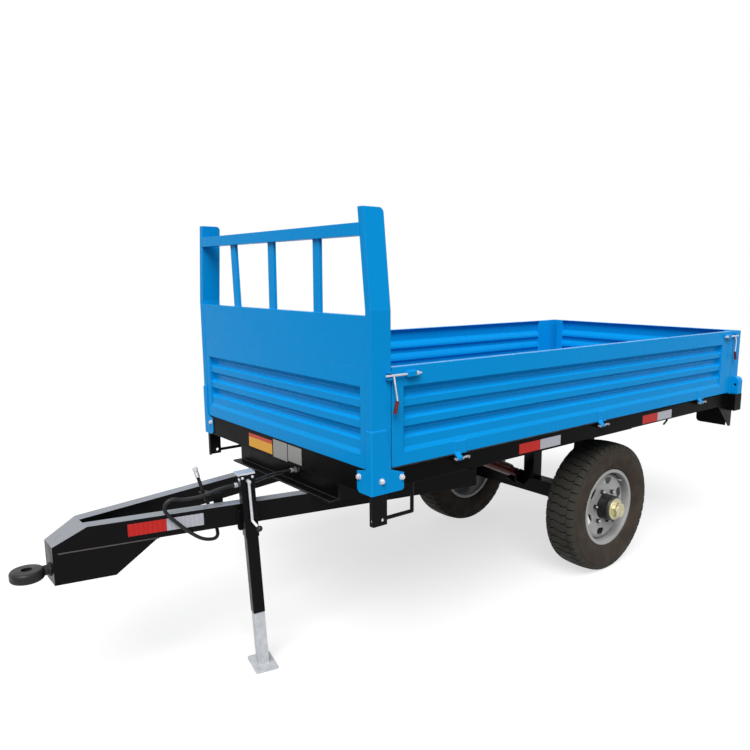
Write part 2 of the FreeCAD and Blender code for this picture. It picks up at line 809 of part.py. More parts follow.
def tyre():
    """Tyre with rounded shoulders and sidewalls, its beads seated inside the rim flanges."""
    w = tyre_width / 2
    t = tread_width / 2
    gap = tyre_clearance
    bead = rim_radius + gap
    over = flange_radius + 4
    foot = flange_mid - 10 - 1.2
    lip = flange_mid - 4 - 1.2
    shoulder = tyre_radius - 8
    wall = (tyre_radius + flange_radius) / 2
    top = flange_mid + 3
    edges = []
    for side in (-1, 1):
        a = V(0, side * foot, bead)
        b = V(0, side * lip, flange_radius + gap)
        c = V(0, side * top, over)
        mid_low = V(0, side * (w - 2), (over + wall) / 2)
        d = V(0, side * w, wall)
        mid_high = V(0, side * (w - 4), (wall + shoulder) / 2 + 4)
        e = V(0, side * t, shoulder)
        edges += [Part.makeLine(a, b), Part.makeLine(b, c), Part.Arc(c, mid_low, d).toShape(),
                  Part.Arc(d, mid_high, e).toShape()]
    crown = V(0, 0, tyre_radius)
    edges.append(Part.Arc(V(0, -t, shoulder), crown, V(0, t, shoulder)).toShape())
    edges.append(Part.makeLine(V(0, -foot, bead), V(0, foot, bead)))
    face = Part.Face(Part.Wire(Part.__sortEdges__(edges)))
    solid = face.revolve(V(0, 0, 0), V(0, 1, 0), 360)
    solid.translate(V(axle_x, tyre_mid, tyre_radius))
    return solid


def around(radius, count, turn):
    """Places around the wheel axis as (x, z), the first one turned by the given share of a step."""
    places = []
    for i in range(count):
        angle = 2 * math.pi * (i + turn) / count
        places.append((axle_x + radius * math.cos(angle), tyre_radius + radius * math.sin(angle)))
    return places


def hand_hole():
    """Oval cutter above the wheel axis."""
    r = hand_hole_radius
    z = tyre_radius + hand_hole_circle
    y0 = disc_face - cutter_reach
    depth = 2 * cutter_reach
    shapes = [box(axle_x - hand_hole_reach, axle_x + hand_hole_reach, y0, y0 + depth, z - r, z + r)]
    for side in (-1, 1):
        shapes.append(Part.makeCylinder(r, depth, V(axle_x + side * hand_hole_reach, y0, z), V(0, 1, 0)))
    return fused(shapes)


def rim():
    """Rim ring with both flanges and the pressed disc with its hand holes."""
    f = flange_mid
    low = rim_radius - rim_sheet
    ring = turned([(rim_radius, -f + 10), (rim_radius, f - 10), (flange_radius, f - 4), (flange_radius, f + 3),
                   (rim_radius - 2, f + 3), (low, f - 12), (low, -f + 12),
                   (rim_radius - 2, -f - 3), (flange_radius, -f - 3), (flange_radius, -f + 4)], tyre_mid)
    bore = hub_radius + hub_bore_gap
    s = disc_sheet
    disc = turned([(bore, 0), (disc_flat, 0), (disc_flat + 14, -5), (low + 1, -26), (low + 1, -26 - s),
                   (disc_flat + 12, -5 - s), (disc_flat, -s), (bore, -s)], disc_face)
    for i in range(hand_hole_count):
        cutter = hand_hole()
        cutter.rotate(V(axle_x, 0, tyre_radius), V(0, 1, 0), 90 - 360 * (i + 0.66) / hand_hole_count)
        disc = disc.cut(cutter)
    return fused([ring, disc])


def hub():
    """Hub barrel with its flange and wheel nuts, bored for the stub axle."""
    bore = stub_radius + pin_clearance
    back = axle_half + 14 - disc_face
    seat = -disc_sheet
    behind = seat - hub_flange_sheet
    front = hub_end - disc_face
    body = turned([(bore, back), (hub_back_radius, back), (hub_back_radius, behind - 30),
                   (hub_radius, behind - 12), (hub_radius, behind), (hub_flange, behind), (hub_flange, seat),
                   (hub_radius, seat), (hub_radius, front - 8), (hub_radius - 7, front), (bore, front)],
                  disc_face)
    nuts = []
    for x, z in around(stud_circle, stud_count, 0.17):
        corners = []
        for k in range(6):
            turn = math.pi * k / 3
            corners.append(V(x + nut_radius * math.cos(turn), disc_face, z + nut_radius * math.sin(turn)))
        nuts.append(prism(corners, V(0, nut_height, 0)))
    return Part.makeCompound([body] + nuts)


def hub_cap():
    """Round flange and chamfered hexagon head that close the hub."""
    corner = cap_flats / 2 / math.cos(math.pi / 6)
    flange_end = hub_end + 10
    points = []
    for k in range(6):
        turn = math.pi * (k + 0.3) / 3
        points.append(V(axle_x + corner * math.cos(turn), flange_end, tyre_radius + corner * math.sin(turn)))
    head = prism(points, V(0, cap_end - flange_end, 0))
    trim = turned([(0.0, 0.0), (corner + 1, 0.0), (corner + 1, cap_end - flange_end - 6),
                   (corner - 7, cap_end - flange_end), (0.0, cap_end - flange_end)], flange_end)
    flange = turned([(0.0, 0.0), (cap_flange, 0.0), (cap_flange, 7.0), (cap_flange - 3, 10.0), (0.0, 10.0)],
                    hub_end)
    return fused([flange, head.common(trim)])


lean = math.radians(jack_lean)
beam_turn = math.degrees(math.atan(drawbar_slope))
leg_side = jack_tube_side - 2 * jack_wall - 2 * leg_gap
jack_head = jack_top / math.cos(lean)


def jack_place(shape):
    """From the jack frame (x along the beam, y outward, axis upright) onto the drawbar."""
    placed = shape.copy()
    placed.rotate(V(0, 0, 0), V(0, 1, 0), jack_lean)
    placed.rotate(V(0, 0, 0), V(0, 0, 1), -beam_turn)
    placed.translate(V(jack_x, outer_y(jack_x) + jack_offset, 0))
    return placed


def jack_point(point):
    return jack_place(Part.Vertex(point)).Point


def jack_tube():
    """Square outer tube with the thicker sleeve at its head, closed above the leg."""
    top = jack_head - jack_cap_sheet
    low = jack_head - jack_tube_length
    shapes = []
    for side, bottom in ((jack_side, top - jack_sleeve_length), (jack_tube_side, low)):
        s = side / 2
        tube = box(-s, s, -s, s, bottom, top)
        upright = [e for e in tube.Edges if abs(e.CenterOfMass.z - (bottom + top) / 2) < 1]
        shapes.append(tube.makeFillet(5, upright))
    inside = jack_tube_side / 2 - jack_wall
    return jack_place(fused(shapes).cut(box(-inside, inside, -inside, inside, low - 1, top - 80)))


def jack_cap():
    top = jack_head
    x = jack_cap_length / 2
    y = jack_cap_width / 2
    return jack_place(box(-x + 5, x + 5, -y, y, top - jack_cap_sheet, top))


def jack_mount():
    """Clamp plate between the tube and the drawbar, reaching below the beam with a rounded lobe."""
    s = jack_side / 2
    gap = (jack_offset * math.cos(math.radians(beam_turn)) - s)
    mid = drawbar_low + drawbar_height / 2
    low = drawbar_low - 24
    plate_shape = box(-s - 14, s + 14, -s - gap, -s, low, mid + 20)
    edges = [e for e in plate_shape.Edges
             if abs(abs(e.CenterOfMass.x) - s - 14) < 0.1 and abs(e.CenterOfMass.y + s + gap / 2) < 0.1]
    plate_shape = plate_shape.makeFillet(12, edges)
    placed = plate_shape.copy()
    placed.rotate(V(0, 0, mid), V(0, 0, 1), -beam_turn)
    shift = mid * math.tan(lean)
    turn = math.radians(beam_turn)
    placed.translate(V(jack_x + shift * math.cos(turn), outer_y(jack_x) + jack_offset - shift * math.sin(turn), 0))
    return placed.cut(jack_tube_block())


def jack_tube_block():
    s = jack_side / 2
    return jack_place(box(-s, s, -s, s, 0, jack_head))


def jack_leg():
    """Inner leg with the foot plate on the ground."""
    s = leg_side / 2
    top = jack_head - jack_tube_length + leg_overlap
    leg = jack_place(box(-s, s, -s, s, 0, top))
    foot = box(-foot_length / 2, foot_length / 2, -foot_width / 2, foot_width / 2, 0, foot_sheet)
    foot = foot.makeFillet(10, [e for e in foot.Edges if abs(e.CenterOfMass.z - foot_sheet / 2) < 0.1])
    foot.rotate(V(0, 0, 0), V(0, 0, 1), -beam_turn)
    foot.translate(V(jack_x, outer_y(jack_x) + jack_offset, 0))
    reach = 3 * foot_width
    keep = box(jack_x - reach, jack_x + reach, 0, 2 * reach, foot_sheet, jack_head)
    return fused([leg.common(keep), foot])


def jack_crank():
    """Crank shaft and arm of the jack, at rest along the tube."""
    s = jack_side / 2
    z = jack_head - crank_drop
    y = s + 10 + crank_radius
    low = z - crank_arm
    shaft = rod(V(0, s, z), V(0, y + crank_radius, z), crank_radius + 2)
    arm = rod(V(0, y, z), V(0, y, low), crank_radius)
    elbow = Part.makeSphere(crank_radius, V(0, y, low))
    bend = rod(V(0, y, low), V(-14, y + 18, low - 22), crank_radius)
    return jack_place(fused([shaft, arm, elbow, bend]))


def jack_knob():
    s = jack_side / 2
    z = jack_head - crank_drop - crank_arm
    y = s + 10 + crank_radius
    ball = Part.makeSphere(knob_radius, V(-20, y + 26, z - 31))
    return jack_place(ball).cut(jack_crank())


def above(x, y, drop):
    return V(x, y, edge + drop)


clip_height = edge - 122.0
clip_line = -jack_side / 2 - 11.0
clip_ahead = 36.0
turn = math.radians(beam_turn)
clip_shift = clip_height * math.tan(lean)


def beside_jack(ahead):
    """Point of the hose line where it passes the inner side of the jack, along the beam."""
    u = ahead + clip_shift
    x = jack_x + u * math.cos(turn) + clip_line * math.sin(turn)
    y = outer_y(jack_x) + jack_offset - u * math.sin(turn) + clip_line * math.cos(turn)
    return V(x, y, clip_height)


fitting_front = chassis_front + plate + 42.0
hose_points = [V(fitting_front, fitting_y, fitting_height), V(fitting_front + 50, fitting_y, fitting_height),
               above(100, 151, -124), above(165, 189, -120), beside_jack(clip_ahead - 60),
               beside_jack(clip_ahead + 50), above(440, 184, -147), above(520, 172, -151), above(565, 163, -138),
               above(591.5, 157.5, -156), above(596.5, 156.5, -187.6), above(556, 168, -236),
               above(506, 181, -289), above(450, 192, -333), above(372, 165, -352), above(356, 104, -310),
               above(370, 84, -240), above(396, 80, -165), above(416, 80, -92)]


def cord_path(points):
    """Straight runs joined by tangent arcs, each arc as large as its two runs allow."""
    edges = []
    radii = []
    start = points[0]
    for i in range(1, len(points) - 1):
        back = points[i - 1] - points[i]
        ahead = points[i + 1] - points[i]
        run = 0.45 * min(back.Length, ahead.Length)
        half_turn = (math.pi - back.getAngle(ahead)) / 2
        radii.append(run / math.tan(half_turn))
        back.normalize()
        ahead.normalize()
        a = points[i] + back * run
        b = points[i] + ahead * run
        inward = back + ahead
        inward.normalize()
        sagitta = radii[-1] / math.cos(half_turn) - radii[-1]
        edges.append(Part.LineSegment(start, a).toShape())
        edges.append(Part.Arc(a, points[i] + inward * sagitta, b).toShape())
        start = b
    edges.append(Part.LineSegment(start, points[-1]).toShape())
    return Part.Wire(edges), radii


def hose():
    """Hydraulic hose from the fitting on the front cross to the free end with its coupling."""
    path, radii = cord_path(hose_points)
    along = hose_points[1] - hose_points[0]
    section = Part.Wire(Part.makeCircle(hose_radius, hose_points[0], along))
    tube = path.makePipeShell([section], True, False)
    expected = math.pi * hose_radius ** 2 * path.Length
    print("hose length %.0f, smallest radius %.0f, volume to section x length %.4f"
          % (path.Length, min(radii), tube.Volume / expected))
    print("hose radii", [round(r) for r in radii])
    return tube.Solids[0] if tube.Solids else tube


def hose_fitting():
    """Bulkhead fitting on the front cross: hexagon and crimped sleeve."""
    face = chassis_front + plate
    corners = []
    for k in range(6):
        step = math.pi * k / 3
        corners.append(V(face, fitting_y + 14 * math.cos(step), fitting_height + 14 * math.sin(step)))
    nut = prism(corners, V(18, 0, 0))
    sleeve = rod(V(face + 18, fitting_y, fitting_height), V(fitting_front, fitting_y, fitting_height), 10)
    return fused([nut, sleeve])


def hose_clip():
    """Clip with its tab on the inner face of the jack tube."""
    centre = beside_jack(clip_ahead)
    along = beside_jack(clip_ahead + 1) - centre
    along.normalize()
    ring = rod(centre - along * 6, centre + along * 6, hose_radius + 2.5)
    bore = rod(centre - along * 9, centre + along * 9, hose_radius + hose_clearance)
    s = jack_side / 2
    tab = box(8, clip_ahead + 6, -s - 2.5, -s, -6, 6)
    bridge = box(clip_ahead - 6, clip_ahead + 6, -s - 5, -s, -6, 6)
    pieces = []
    for piece in (tab, bridge):
        placed = piece.copy()
        placed.rotate(V(0, 0, 0), V(0, 0, 1), -beam_turn)
        base = beside_jack(0)
        placed.translate(V(base.x - clip_line * math.sin(turn), base.y - clip_line * math.cos(turn), base.z))
        pieces.append(placed)
    return fused([ring] + pieces).cut(bore).cut(jack_tube_block())


def hose_band():
    """Narrow band round the hose ahead of the bed."""
    a = hose_points[2]
    b = hose_points[3]
    middle = a + (b - a) * 0.5
    along = b - a
    along.normalize()
    outer = rod(middle - along * 5, middle + along * 5, hose_radius + 3)
    return outer.cut(rod(middle - along * 7, middle + along * 7, hose_radius + hose_clearance))


def hose_coupling():
    """Crimped sleeve, hexagon and dust cap on the free end of the hose."""
    end = hose_points[-1]
    along = end - hose_points[-2]
    along.normalize()
    sleeve = rod(end, end + along * 24, hose_radius + 2)
    neck = rod(end + along * 24, end + along * 28, hose_radius)
    cap = rod(end + along * 28, end + along * 46, hose_radius + 4)
    cap = cap.makeFillet(5, [max(cap.Edges, key=lambda e: e.CenterOfMass.z)])
    return fused([sleeve, neck, cap])


def hose_holder():
    """Bent plate on the inner side of the left beam that holds the hose's free end."""
    centre = hose_points[-2]
    z = centre.z
    wide = drawbar_width * math.hypot(1, drawbar_slope)
    x0 = centre.x - 62
    x1 = centre.x - 24
    shelf = plan_prism([(x0, outer_y(x0) - wide), (x1, outer_y(x1) - wide), (centre.x + 16, centre.y + 14),
                        (centre.x + 16, centre.y - 14), (centre.x - 14, centre.y - 14)], z - 2, z + 2)
    tab = plan_prism([(x0, outer_y(x0) - wide), (x1, outer_y(x1) - wide), (x1, outer_y(x1) - wide - 4),
                      (x0, outer_y(x0) - wide - 4)], drawbar_top - 40, z + 2)
    bore = rod(centre - V(2, 0, 6), centre + V(2, 0, 6), hose_radius + 1)
    return fused([shelf, tab]).cut(bore)


def export(name, shape):
    placed = shape.copy()
    placed.translate(V(front_x, 0, 0))
    placed.exportStep("parts/%s.step" % name)
    print("%-24s %d solids %.1f cm3" % (name, len(placed.Solids), placed.Volume / 1000))


def both_sides(shapes):
    solids = [solid for shape in shapes for solid in shape.Solids]
    return Part.makeCompound(solids + [mirrored(solid) for solid in solids])


front_latch, front_grip = latch(1, side_start)
rear_latch, rear_grip = latch(-1, side_end)
left_hinges = [onto_left(fixed_knuckle(x)) for x in side_hinges]
tail_knuckles = [onto_tail(fixed_knuckle(x)) for x in tail_hinges]

nodes = {
    "drawbar": drawbar(),
    "tow_eye": tow_eye(),
    "chassis_frame": chassis_frame(),
    "chassis_front_cross": front_cross(),
    "axle": axle(),
    "axle_brackets": axle_brackets(),
    "jack_tube": jack_tube(),
    "jack_cap": jack_cap(),
    "jack_mount": jack_mount(),
    "jack_crank": jack_crank(),
    "jack_knob": jack_knob(),
    "jack_leg": jack_leg(),
    "hose": hose(),
    "hose_coupling": hose_coupling(),
    "hose_band": hose_band(),
    "hose_fitting": hose_fitting(),
    "hose_clip": hose_clip(),
    "hose_holder": hose_holder(),
    "ram_barrel": ram_barrel(),
    "ram_rod": ram_rod(),
    "bed_frame": bed_frame(),
    "bed_floor": bed_floor(),
    "bed_lugs": Part.makeCompound(pivot_lugs() + ram_top_lugs()),
    "headboard_panel": headboard_panel(),
    "headboard_lower": headboard_lower(),
    "headboard_rack": fused([top_rail()] + slats()),
    "headboard_posts": both_sides([headboard_post()]),
    "rear_posts": both_sides([rear_post()]),
    "rear_ears": both_sides([rear_ear()]),
    "corner_brackets": both_sides([corner_bracket()]),
    "hanging_plates": both_sides([hanging_plate()]),
    "lamp_brackets": both_sides([lamp_bracket()]),
    "board_hinges": Part.makeCompound(tail_knuckles + both_sides(left_hinges).Solids),
    "latch_cradles": both_sides([cradle(1, side_start), cradle(-1, side_end)]),
    "tailboard": tailboard(),
}
pairs = {
    "tyre": tyre(),
    "rim": rim(),
    "hub": hub(),
    "hub_cap": hub_cap(),
    "side_board": side_board(),
    "latches": Part.makeCompound([front_latch, rear_latch]),
    "latch_grips": Part.makeCompound([front_grip, rear_grip]),
}
for name, shape in pairs.items():
    nodes[name + "_left"] = shape
    nodes[name + "_right"] = mirrored(shape)

os.makedirs("parts", exist_ok=True)
for name, shape in nodes.items():
    export(name, shape)
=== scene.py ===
import math

import bmesh
import bpy
from mathutils import Matrix, Vector


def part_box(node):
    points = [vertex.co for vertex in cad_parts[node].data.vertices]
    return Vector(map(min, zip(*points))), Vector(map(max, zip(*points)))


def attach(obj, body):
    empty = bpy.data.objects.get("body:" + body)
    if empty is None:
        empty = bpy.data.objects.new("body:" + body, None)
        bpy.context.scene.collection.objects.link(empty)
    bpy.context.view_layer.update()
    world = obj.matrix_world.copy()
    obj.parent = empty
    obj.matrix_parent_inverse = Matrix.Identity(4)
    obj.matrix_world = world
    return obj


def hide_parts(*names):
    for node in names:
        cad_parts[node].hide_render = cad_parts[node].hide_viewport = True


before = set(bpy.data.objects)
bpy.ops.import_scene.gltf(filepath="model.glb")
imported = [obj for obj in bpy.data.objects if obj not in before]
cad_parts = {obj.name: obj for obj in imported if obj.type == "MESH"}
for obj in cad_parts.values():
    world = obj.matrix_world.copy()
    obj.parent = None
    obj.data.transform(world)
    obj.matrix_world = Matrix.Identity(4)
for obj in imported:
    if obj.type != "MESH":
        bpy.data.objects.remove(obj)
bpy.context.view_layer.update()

# Camera. It stands ahead of the left front corner at eye height and looks back along the
# left side. The front beam of the bed is the place that everything is measured from.
bed_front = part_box("bed_frame")[1][0]
bed_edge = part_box("bed_frame")[1][2]
eye_point = (bed_front + 1.573, 2.837, bed_edge + 0.748)
look = Vector((-0.6342, -0.7535, -0.1731))
aside = Vector((-0.7652, 0.6439, 0.0005))
camera_data = bpy.data.cameras.new("camera")
camera_data.sensor_width = 36.0
camera_data.lens = 33.39
camera_data.shift_x = -0.0429
camera_data.shift_y = 0.0312
camera = bpy.data.objects.new("camera", camera_data)
bpy.context.scene.collection.objects.link(camera)
camera.matrix_world = Matrix((aside, aside.cross(look), -look)).transposed().to_4x4()
camera.location = eye_point
bpy.context.scene.camera = camera

# Studio. A pale ground and a white surround with a broad lamp above the camera's side. The
# ground keeps the shadow and turns white further out; metal mirrors the same white ground.
floor_reach = 40.0
shadow_reach = 2.6
fade_reach = 6.5
near_white = 0.66
ground_lit = 0.26
ground_seen = 0.93
surround_lit = 0.42
white = (1.0, 1.0, 1.0, 1.0)


def node(tree, kind, **settings):
    """Shader node of a kind with its settings."""
    made = tree.nodes.new("ShaderNode" + kind)
    for key, value in settings.items():
        setattr(made, key, value)
    return made


def seen_rays(tree):
    """Socket that is 1 for the rays that show the background: camera, mirror and glass rays."""
    light_path = node(tree, "LightPath")
    mirrored = node(tree, "Math", operation="MAXIMUM")
    tree.links.new(light_path.outputs["Is Glossy Ray"], mirrored.inputs[0])
    tree.links.new(light_path.outputs["Is Transmission Ray"], mirrored.inputs[1])
    seen = node(tree, "Math", operation="MAXIMUM")
    tree.links.new(light_path.outputs["Is Camera Ray"], seen.inputs[0])
    tree.links.new(mirrored.outputs[0], seen.inputs[1])
    return seen.outputs[0]


surround = bpy.data.worlds.new("surround")
bpy.context.scene.world = surround
surround.use_nodes = True
tree = surround.node_tree
strength = node(tree, "MapRange")
strength.inputs["To Min"].default_value = surround_lit
tree.links.new(seen_rays(tree), strength.inputs["Value"])
sky = tree.nodes["Background"]
sky.inputs["Color"].default_value = white
tree.links.new(strength.outputs[0], sky.inputs["Strength"])

ground_paper = bpy.data.materials.new("ground_paper")
ground_paper.use_nodes = True
tree = ground_paper.node_tree
tree.nodes.remove(tree.nodes["Principled BSDF"])
place = node(tree, "TexCoord")
away = node(tree, "VectorMath", operation="LENGTH")
tree.links.new(place.outputs["Object"], away.inputs[0])
fade = node(tree, "MapRange", interpolation_type="SMOOTHSTEP")
fade.inputs["From Min"].default_value = shadow_reach
fade.inputs["From Max"].default_value = fade_reach
fade.inputs["To Min"].default_value = near_white
tree.links.new(away.outputs["Value"], fade.inputs["Value"])
seen = seen_rays(tree)
plain = node(tree, "Math", operation="MULTIPLY")
tree.links.new(seen, plain.inputs[0])
tree.links.new(fade.outputs[0], plain.inputs[1])
tone = node(tree, "MapRange")
tone.inputs["To Min"].default_value = ground_lit
tone.inputs["To Max"].default_value = ground_seen
tree.links.new(seen, tone.inputs["Value"])
paper = node(tree, "BsdfDiffuse")
tree.links.new(tone.outputs[0], paper.inputs["Color"])
glow = node(tree, "Emission")
either = node(tree, "MixShader")
tree.links.new(plain.outputs[0], either.inputs[0])
tree.links.new(paper.outputs[0], either.inputs[1])
tree.links.new(glow.outputs[0], either.inputs[2])
tree.links.new(either.outputs[0], tree.nodes["Material Output"].inputs["Surface"])

ground_shape = bmesh.new()
bmesh.ops.create_grid(ground_shape, x_segments=2, y_segments=2, size=floor_reach)
ground_mesh = bpy.data.meshes.new("studio_floor")
ground_shape.to_mesh(ground_mesh)
ground_shape.free()
ground_mesh.materials.append(ground_paper)
ground = bpy.data.objects.new("studio_floor", ground_mesh)
bpy.context.scene.collection.objects.link(ground)

lamp_way = Vector((-0.47, -0.47, -0.747))
lamp_data = bpy.data.lights.new("overhead_lamp", "SUN")
lamp_data.energy = 3.9
lamp_data.angle = math.radians(40.0)
lamp = bpy.data.objects.new("overhead_lamp", lamp_data)
bpy.context.scene.collection.objects.link(lamp)
lamp.location = (bed_front + 2.0, 2.0, 4.0)
lamp.rotation_euler = lamp_way.to_track_quat("-Z", "Y").to_euler()
bpy.context.scene.view_settings.view_transform = "Standard"

# Chassis. Square tubes and folded plates, welded, then sprayed with gloss black enamel,
# which shows a little orange peel, rounded edges with a painted highlight and thin dust on its upper faces.
black = (0.0034, 0.0033, 0.0040, 1.0)
black_shade = (0.0022, 0.0022, 0.0026, 1.0)
# The edge colour is a painted highlight laid along the rounded edges.
black_edge_highlight = (0.030, 0.031, 0.034, 1.0)
dust_tint = (0.30, 0.29, 0.27, 1.0)


def effect(name, inputs, outputs):
    """Empty shader group with its named sockets."""
    group = bpy.data.node_groups.new(name, "ShaderNodeTree")
    for label, kind, value in inputs:
        socket = group.interface.new_socket(name=label, in_out="INPUT", socket_type="NodeSocket" + kind)
        socket.default_value = value
    for label, kind in outputs:
        group.interface.new_socket(name=label, in_out="OUTPUT", socket_type="NodeSocket" + kind)
    return group, group.nodes.new("NodeGroupInput"), group.nodes.new("NodeGroupOutput")


grey = (0.5, 0.5, 0.5, 1.0)
film, film_in, film_out = effect(
    "enamel_film",
    (("Colour", "Color", grey), ("Shade", "Color", grey), ("Cloud Scale", "Float", 2.4),
     ("Peel Scale", "Float", 420.0), ("Smooth", "Float", 0.2), ("Rough", "Float", 0.35)),
    (("Colour", "Color"), ("Roughness", "Float"), ("Height", "Float")))
spot = node(film, "TexCoord")
cloud = node(film, "TexNoise")
cloud.inputs["Detail"].default_value = 5.0
cloud.inputs["Roughness"].default_value = 0.62
film.links.new(spot.outputs["Object"], cloud.inputs["Vector"])
film.links.new(film_in.outputs["Cloud Scale"], cloud.inputs["Scale"])
spread = node(film, "MapRange")
spread.inputs["From Min"].default_value = 0.32
spread.inputs["From Max"].default_value = 0.68
film.links.new(cloud.outputs[0], spread.inputs["Value"])
tint = node(film, "Mix", data_type="RGBA")
film.links.new(spread.outputs[0], tint.inputs["Factor"])
film.links.new(film_in.outputs["Shade"], tint.inputs[6])
film.links.new(film_in.outputs["Colour"], tint.inputs[7])
film.links.new(tint.outputs[2], film_out.inputs["Colour"])
haze = node(film, "TexNoise")
haze.inputs["Scale"].default_value = 17.0
haze.inputs["Detail"].default_value = 6.0
film.links.new(spot.outputs["Object"], haze.inputs["Vector"])
dull = node(film, "MapRange")
dull.inputs["From Min"].default_value = 0.35
dull.inputs["From Max"].default_value = 0.7
film.links.new(haze.outputs[0], dull.inputs["Value"])
film.links.new(film_in.outputs["Smooth"], dull.inputs["To Min"])
film.links.new(film_in.outputs["Rough"], dull.inputs["To Max"])
film.links.new(dull.outputs[0], film_out.inputs["Roughness"])
peel = node(film, "TexNoise")
peel.inputs["Detail"].default_value = 2.0
film.links.new(spot.outputs["Object"], peel.inputs["Vector"])
film.links.new(film_in.outputs["Peel Scale"], peel.inputs["Scale"])
film.links.new(peel.outputs[0], film_out.inputs["Height"])

# Mask of the rounded edges; enamelled lays a painted highlight colour along it.
fold, fold_in, fold_out = effect(
    "rounded_fold", (("Radius", "Float", 0.0015), ("Reach", "Float", 3.0)),
    (("Mask", "Float"), ("Normal", "Vector")))
round_edge = node(fold, "Bevel", samples=4)
fold.links.new(fold_in.outputs["Radius"], round_edge.inputs["Radius"])
flat = node(fold, "NewGeometry")
agree = node(fold, "VectorMath", operation="DOT_PRODUCT")
fold.links.new(round_edge.outputs[0], agree.inputs[0])
fold.links.new(flat.outputs["Normal"], agree.inputs[1])
bent = node(fold, "Math", operation="SUBTRACT")
bent.inputs[0].default_value = 1.0
fold.links.new(agree.outputs["Value"], bent.inputs[1])
mask = node(fold, "Math", operation="MULTIPLY", use_clamp=True)
fold.links.new(bent.outputs[0], mask.inputs[0])
fold.links.new(fold_in.outputs["Reach"], mask.inputs[1])
fold.links.new(mask.outputs[0], fold_out.inputs["Mask"])
fold.links.new(round_edge.outputs[0], fold_out.inputs["Normal"])

dust, dust_in, dust_out = effect(
    "settled_dust", (("Amount", "Float", 0.2), ("Scale", "Float", 7.0)), (("Mask", "Float"),))
faces = node(dust, "NewGeometry")
upward = node(dust, "SeparateXYZ")
dust.links.new(faces.outputs["Normal"], upward.inputs[0])
lying = node(dust, "MapRange")
lying.inputs["From Min"].default_value = 0.35
lying.inputs["From Max"].default_value = 1.0
lying.inputs["To Min"].default_value = 0.12
dust.links.new(upward.outputs["Z"], lying.inputs["Value"])
spot = node(dust, "TexCoord")
drift = node(dust, "TexNoise")
drift.inputs["Detail"].default_value = 7.0
drift.inputs["Roughness"].default_value = 0.7
dust.links.new(spot.outputs["Object"], drift.inputs["Vector"])
dust.links.new(dust_in.outputs["Scale"], drift.inputs["Scale"])
patch = node(dust, "MapRange")
patch.inputs["From Min"].default_value = 0.38
patch.inputs["From Max"].default_value = 0.72
dust.links.new(drift.outputs[0], patch.inputs["Value"])
heap = node(dust, "Math", operation="MULTIPLY")
dust.links.new(lying.outputs[0], heap.inputs[0])
dust.links.new(patch.outputs[0], heap.inputs[1])
share = node(dust, "Math", operation="MULTIPLY", use_clamp=True)
dust.links.new(heap.outputs[0], share.inputs[0])
dust.links.new(dust_in.outputs["Amount"], share.inputs[1])
dust.links.new(share.outputs[0], dust_out.inputs["Mask"])


def placed_effect(tree, group, values):
    """Shader group placed in a material with its own values."""
    made = node(tree, "Group")
    made.node_tree = group
    for label, value in values.items():
        made.inputs[label].default_value = value
    return made


def enamelled(name, colour, shade, edge, smooth=0.2, rough=0.35, metallic=0.0, cloud_scale=2.4,
              peel_scale=420.0, peel_depth=0.06, radius=0.0015, reach=3.0, dust_share=0.12, specular=0.5):
    """Material of a coated part: film, folds with a painted highlight and thin dust."""
    material = bpy.data.materials.new(name)
    material.use_nodes = True
    tree = material.node_tree
    shader = tree.nodes["Principled BSDF"]
    shader.inputs["Metallic"].default_value = metallic
    shader.inputs["Specular IOR Level"].default_value = specular
    coating = placed_effect(tree, film, {"Colour": colour, "Shade": shade, "Cloud Scale": cloud_scale,
                                         "Peel Scale": peel_scale, "Smooth": smooth, "Rough": rough})
    folds = placed_effect(tree, fold, {"Radius": radius, "Reach": reach})
    settled = placed_effect(tree, dust, {"Amount": dust_share})
    # Painted highlight: the lighter edge colour is laid along the rounded folds, where light catches the
    # edges.
    lit = node(tree, "Mix", data_type="RGBA")
    tree.links.new(folds.outputs["Mask"], lit.inputs["Factor"])
    tree.links.new(coating.outputs["Colour"], lit.inputs[6])
    lit.inputs[7].default_value = edge
    covered = node(tree, "Mix", data_type="RGBA")
    tree.links.new(settled.outputs["Mask"], covered.inputs["Factor"])
    tree.links.new(lit.outputs[2], covered.inputs[6])
    covered.inputs[7].default_value = dust_tint
    tree.links.new(covered.outputs[2], shader.inputs["Base Color"])
    tree.links.new(coating.outputs["Roughness"], shader.inputs["Roughness"])
    skin = node(tree, "Bump")
    skin.inputs["Strength"].default_value = peel_depth
    skin.inputs["Distance"].default_value = 0.001
    tree.links.new(coating.outputs["Height"], skin.inputs["Height"])
    tree.links.new(folds.outputs["Normal"], skin.inputs["Normal"])
    tree.links.new(skin.outputs["Normal"], shader.inputs["Normal"])
    return material


def dress(material, *names):
    """Gives a material to CAD pieces."""
    for name in names:
        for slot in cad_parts[name].material_slots:
            slot.material = material


black_enamel = enamelled("black_enamel", black, black_shade, black_edge_highlight, smooth=0.24, rough=0.38,
                         radius=0.0025, dust_share=0.01, specular=0.08)
dress(black_enamel, "chassis_frame", "axle", "axle_brackets", "hose_holder")
plate_black = enamelled("plate_black", black, black_shade, (0.10, 0.10, 0.11, 1.0), smooth=0.28, rough=0.42,
                        radius=0.004, reach=4.0, dust_share=0.01, specular=0.05)
dress(plate_black, "chassis_front_cross")

# Drawbar. The same enamel on both beams, the nose and the belly box; its upper faces get a
# painted pale sheen, a painted reflection of the bright sky laid into the colour.
painted_sheen_tint = (0.37, 0.39, 0.43, 1.0)
painted_sheen_share = 0.60


def painted_over(tree, share, colour):
    """Lays a colour over a material's own as far as a share goes."""
    shader = tree.nodes["Principled BSDF"]
    own_colour = shader.inputs["Base Color"].links[0].from_socket
    over = node(tree, "Mix", data_type="RGBA")
    tree.links.new(share, over.inputs["Factor"])
    tree.links.new(own_colour, over.inputs[6])
    over.inputs[7].default_value = colour
    tree.links.new(over.outputs[2], shader.inputs["Base Color"])
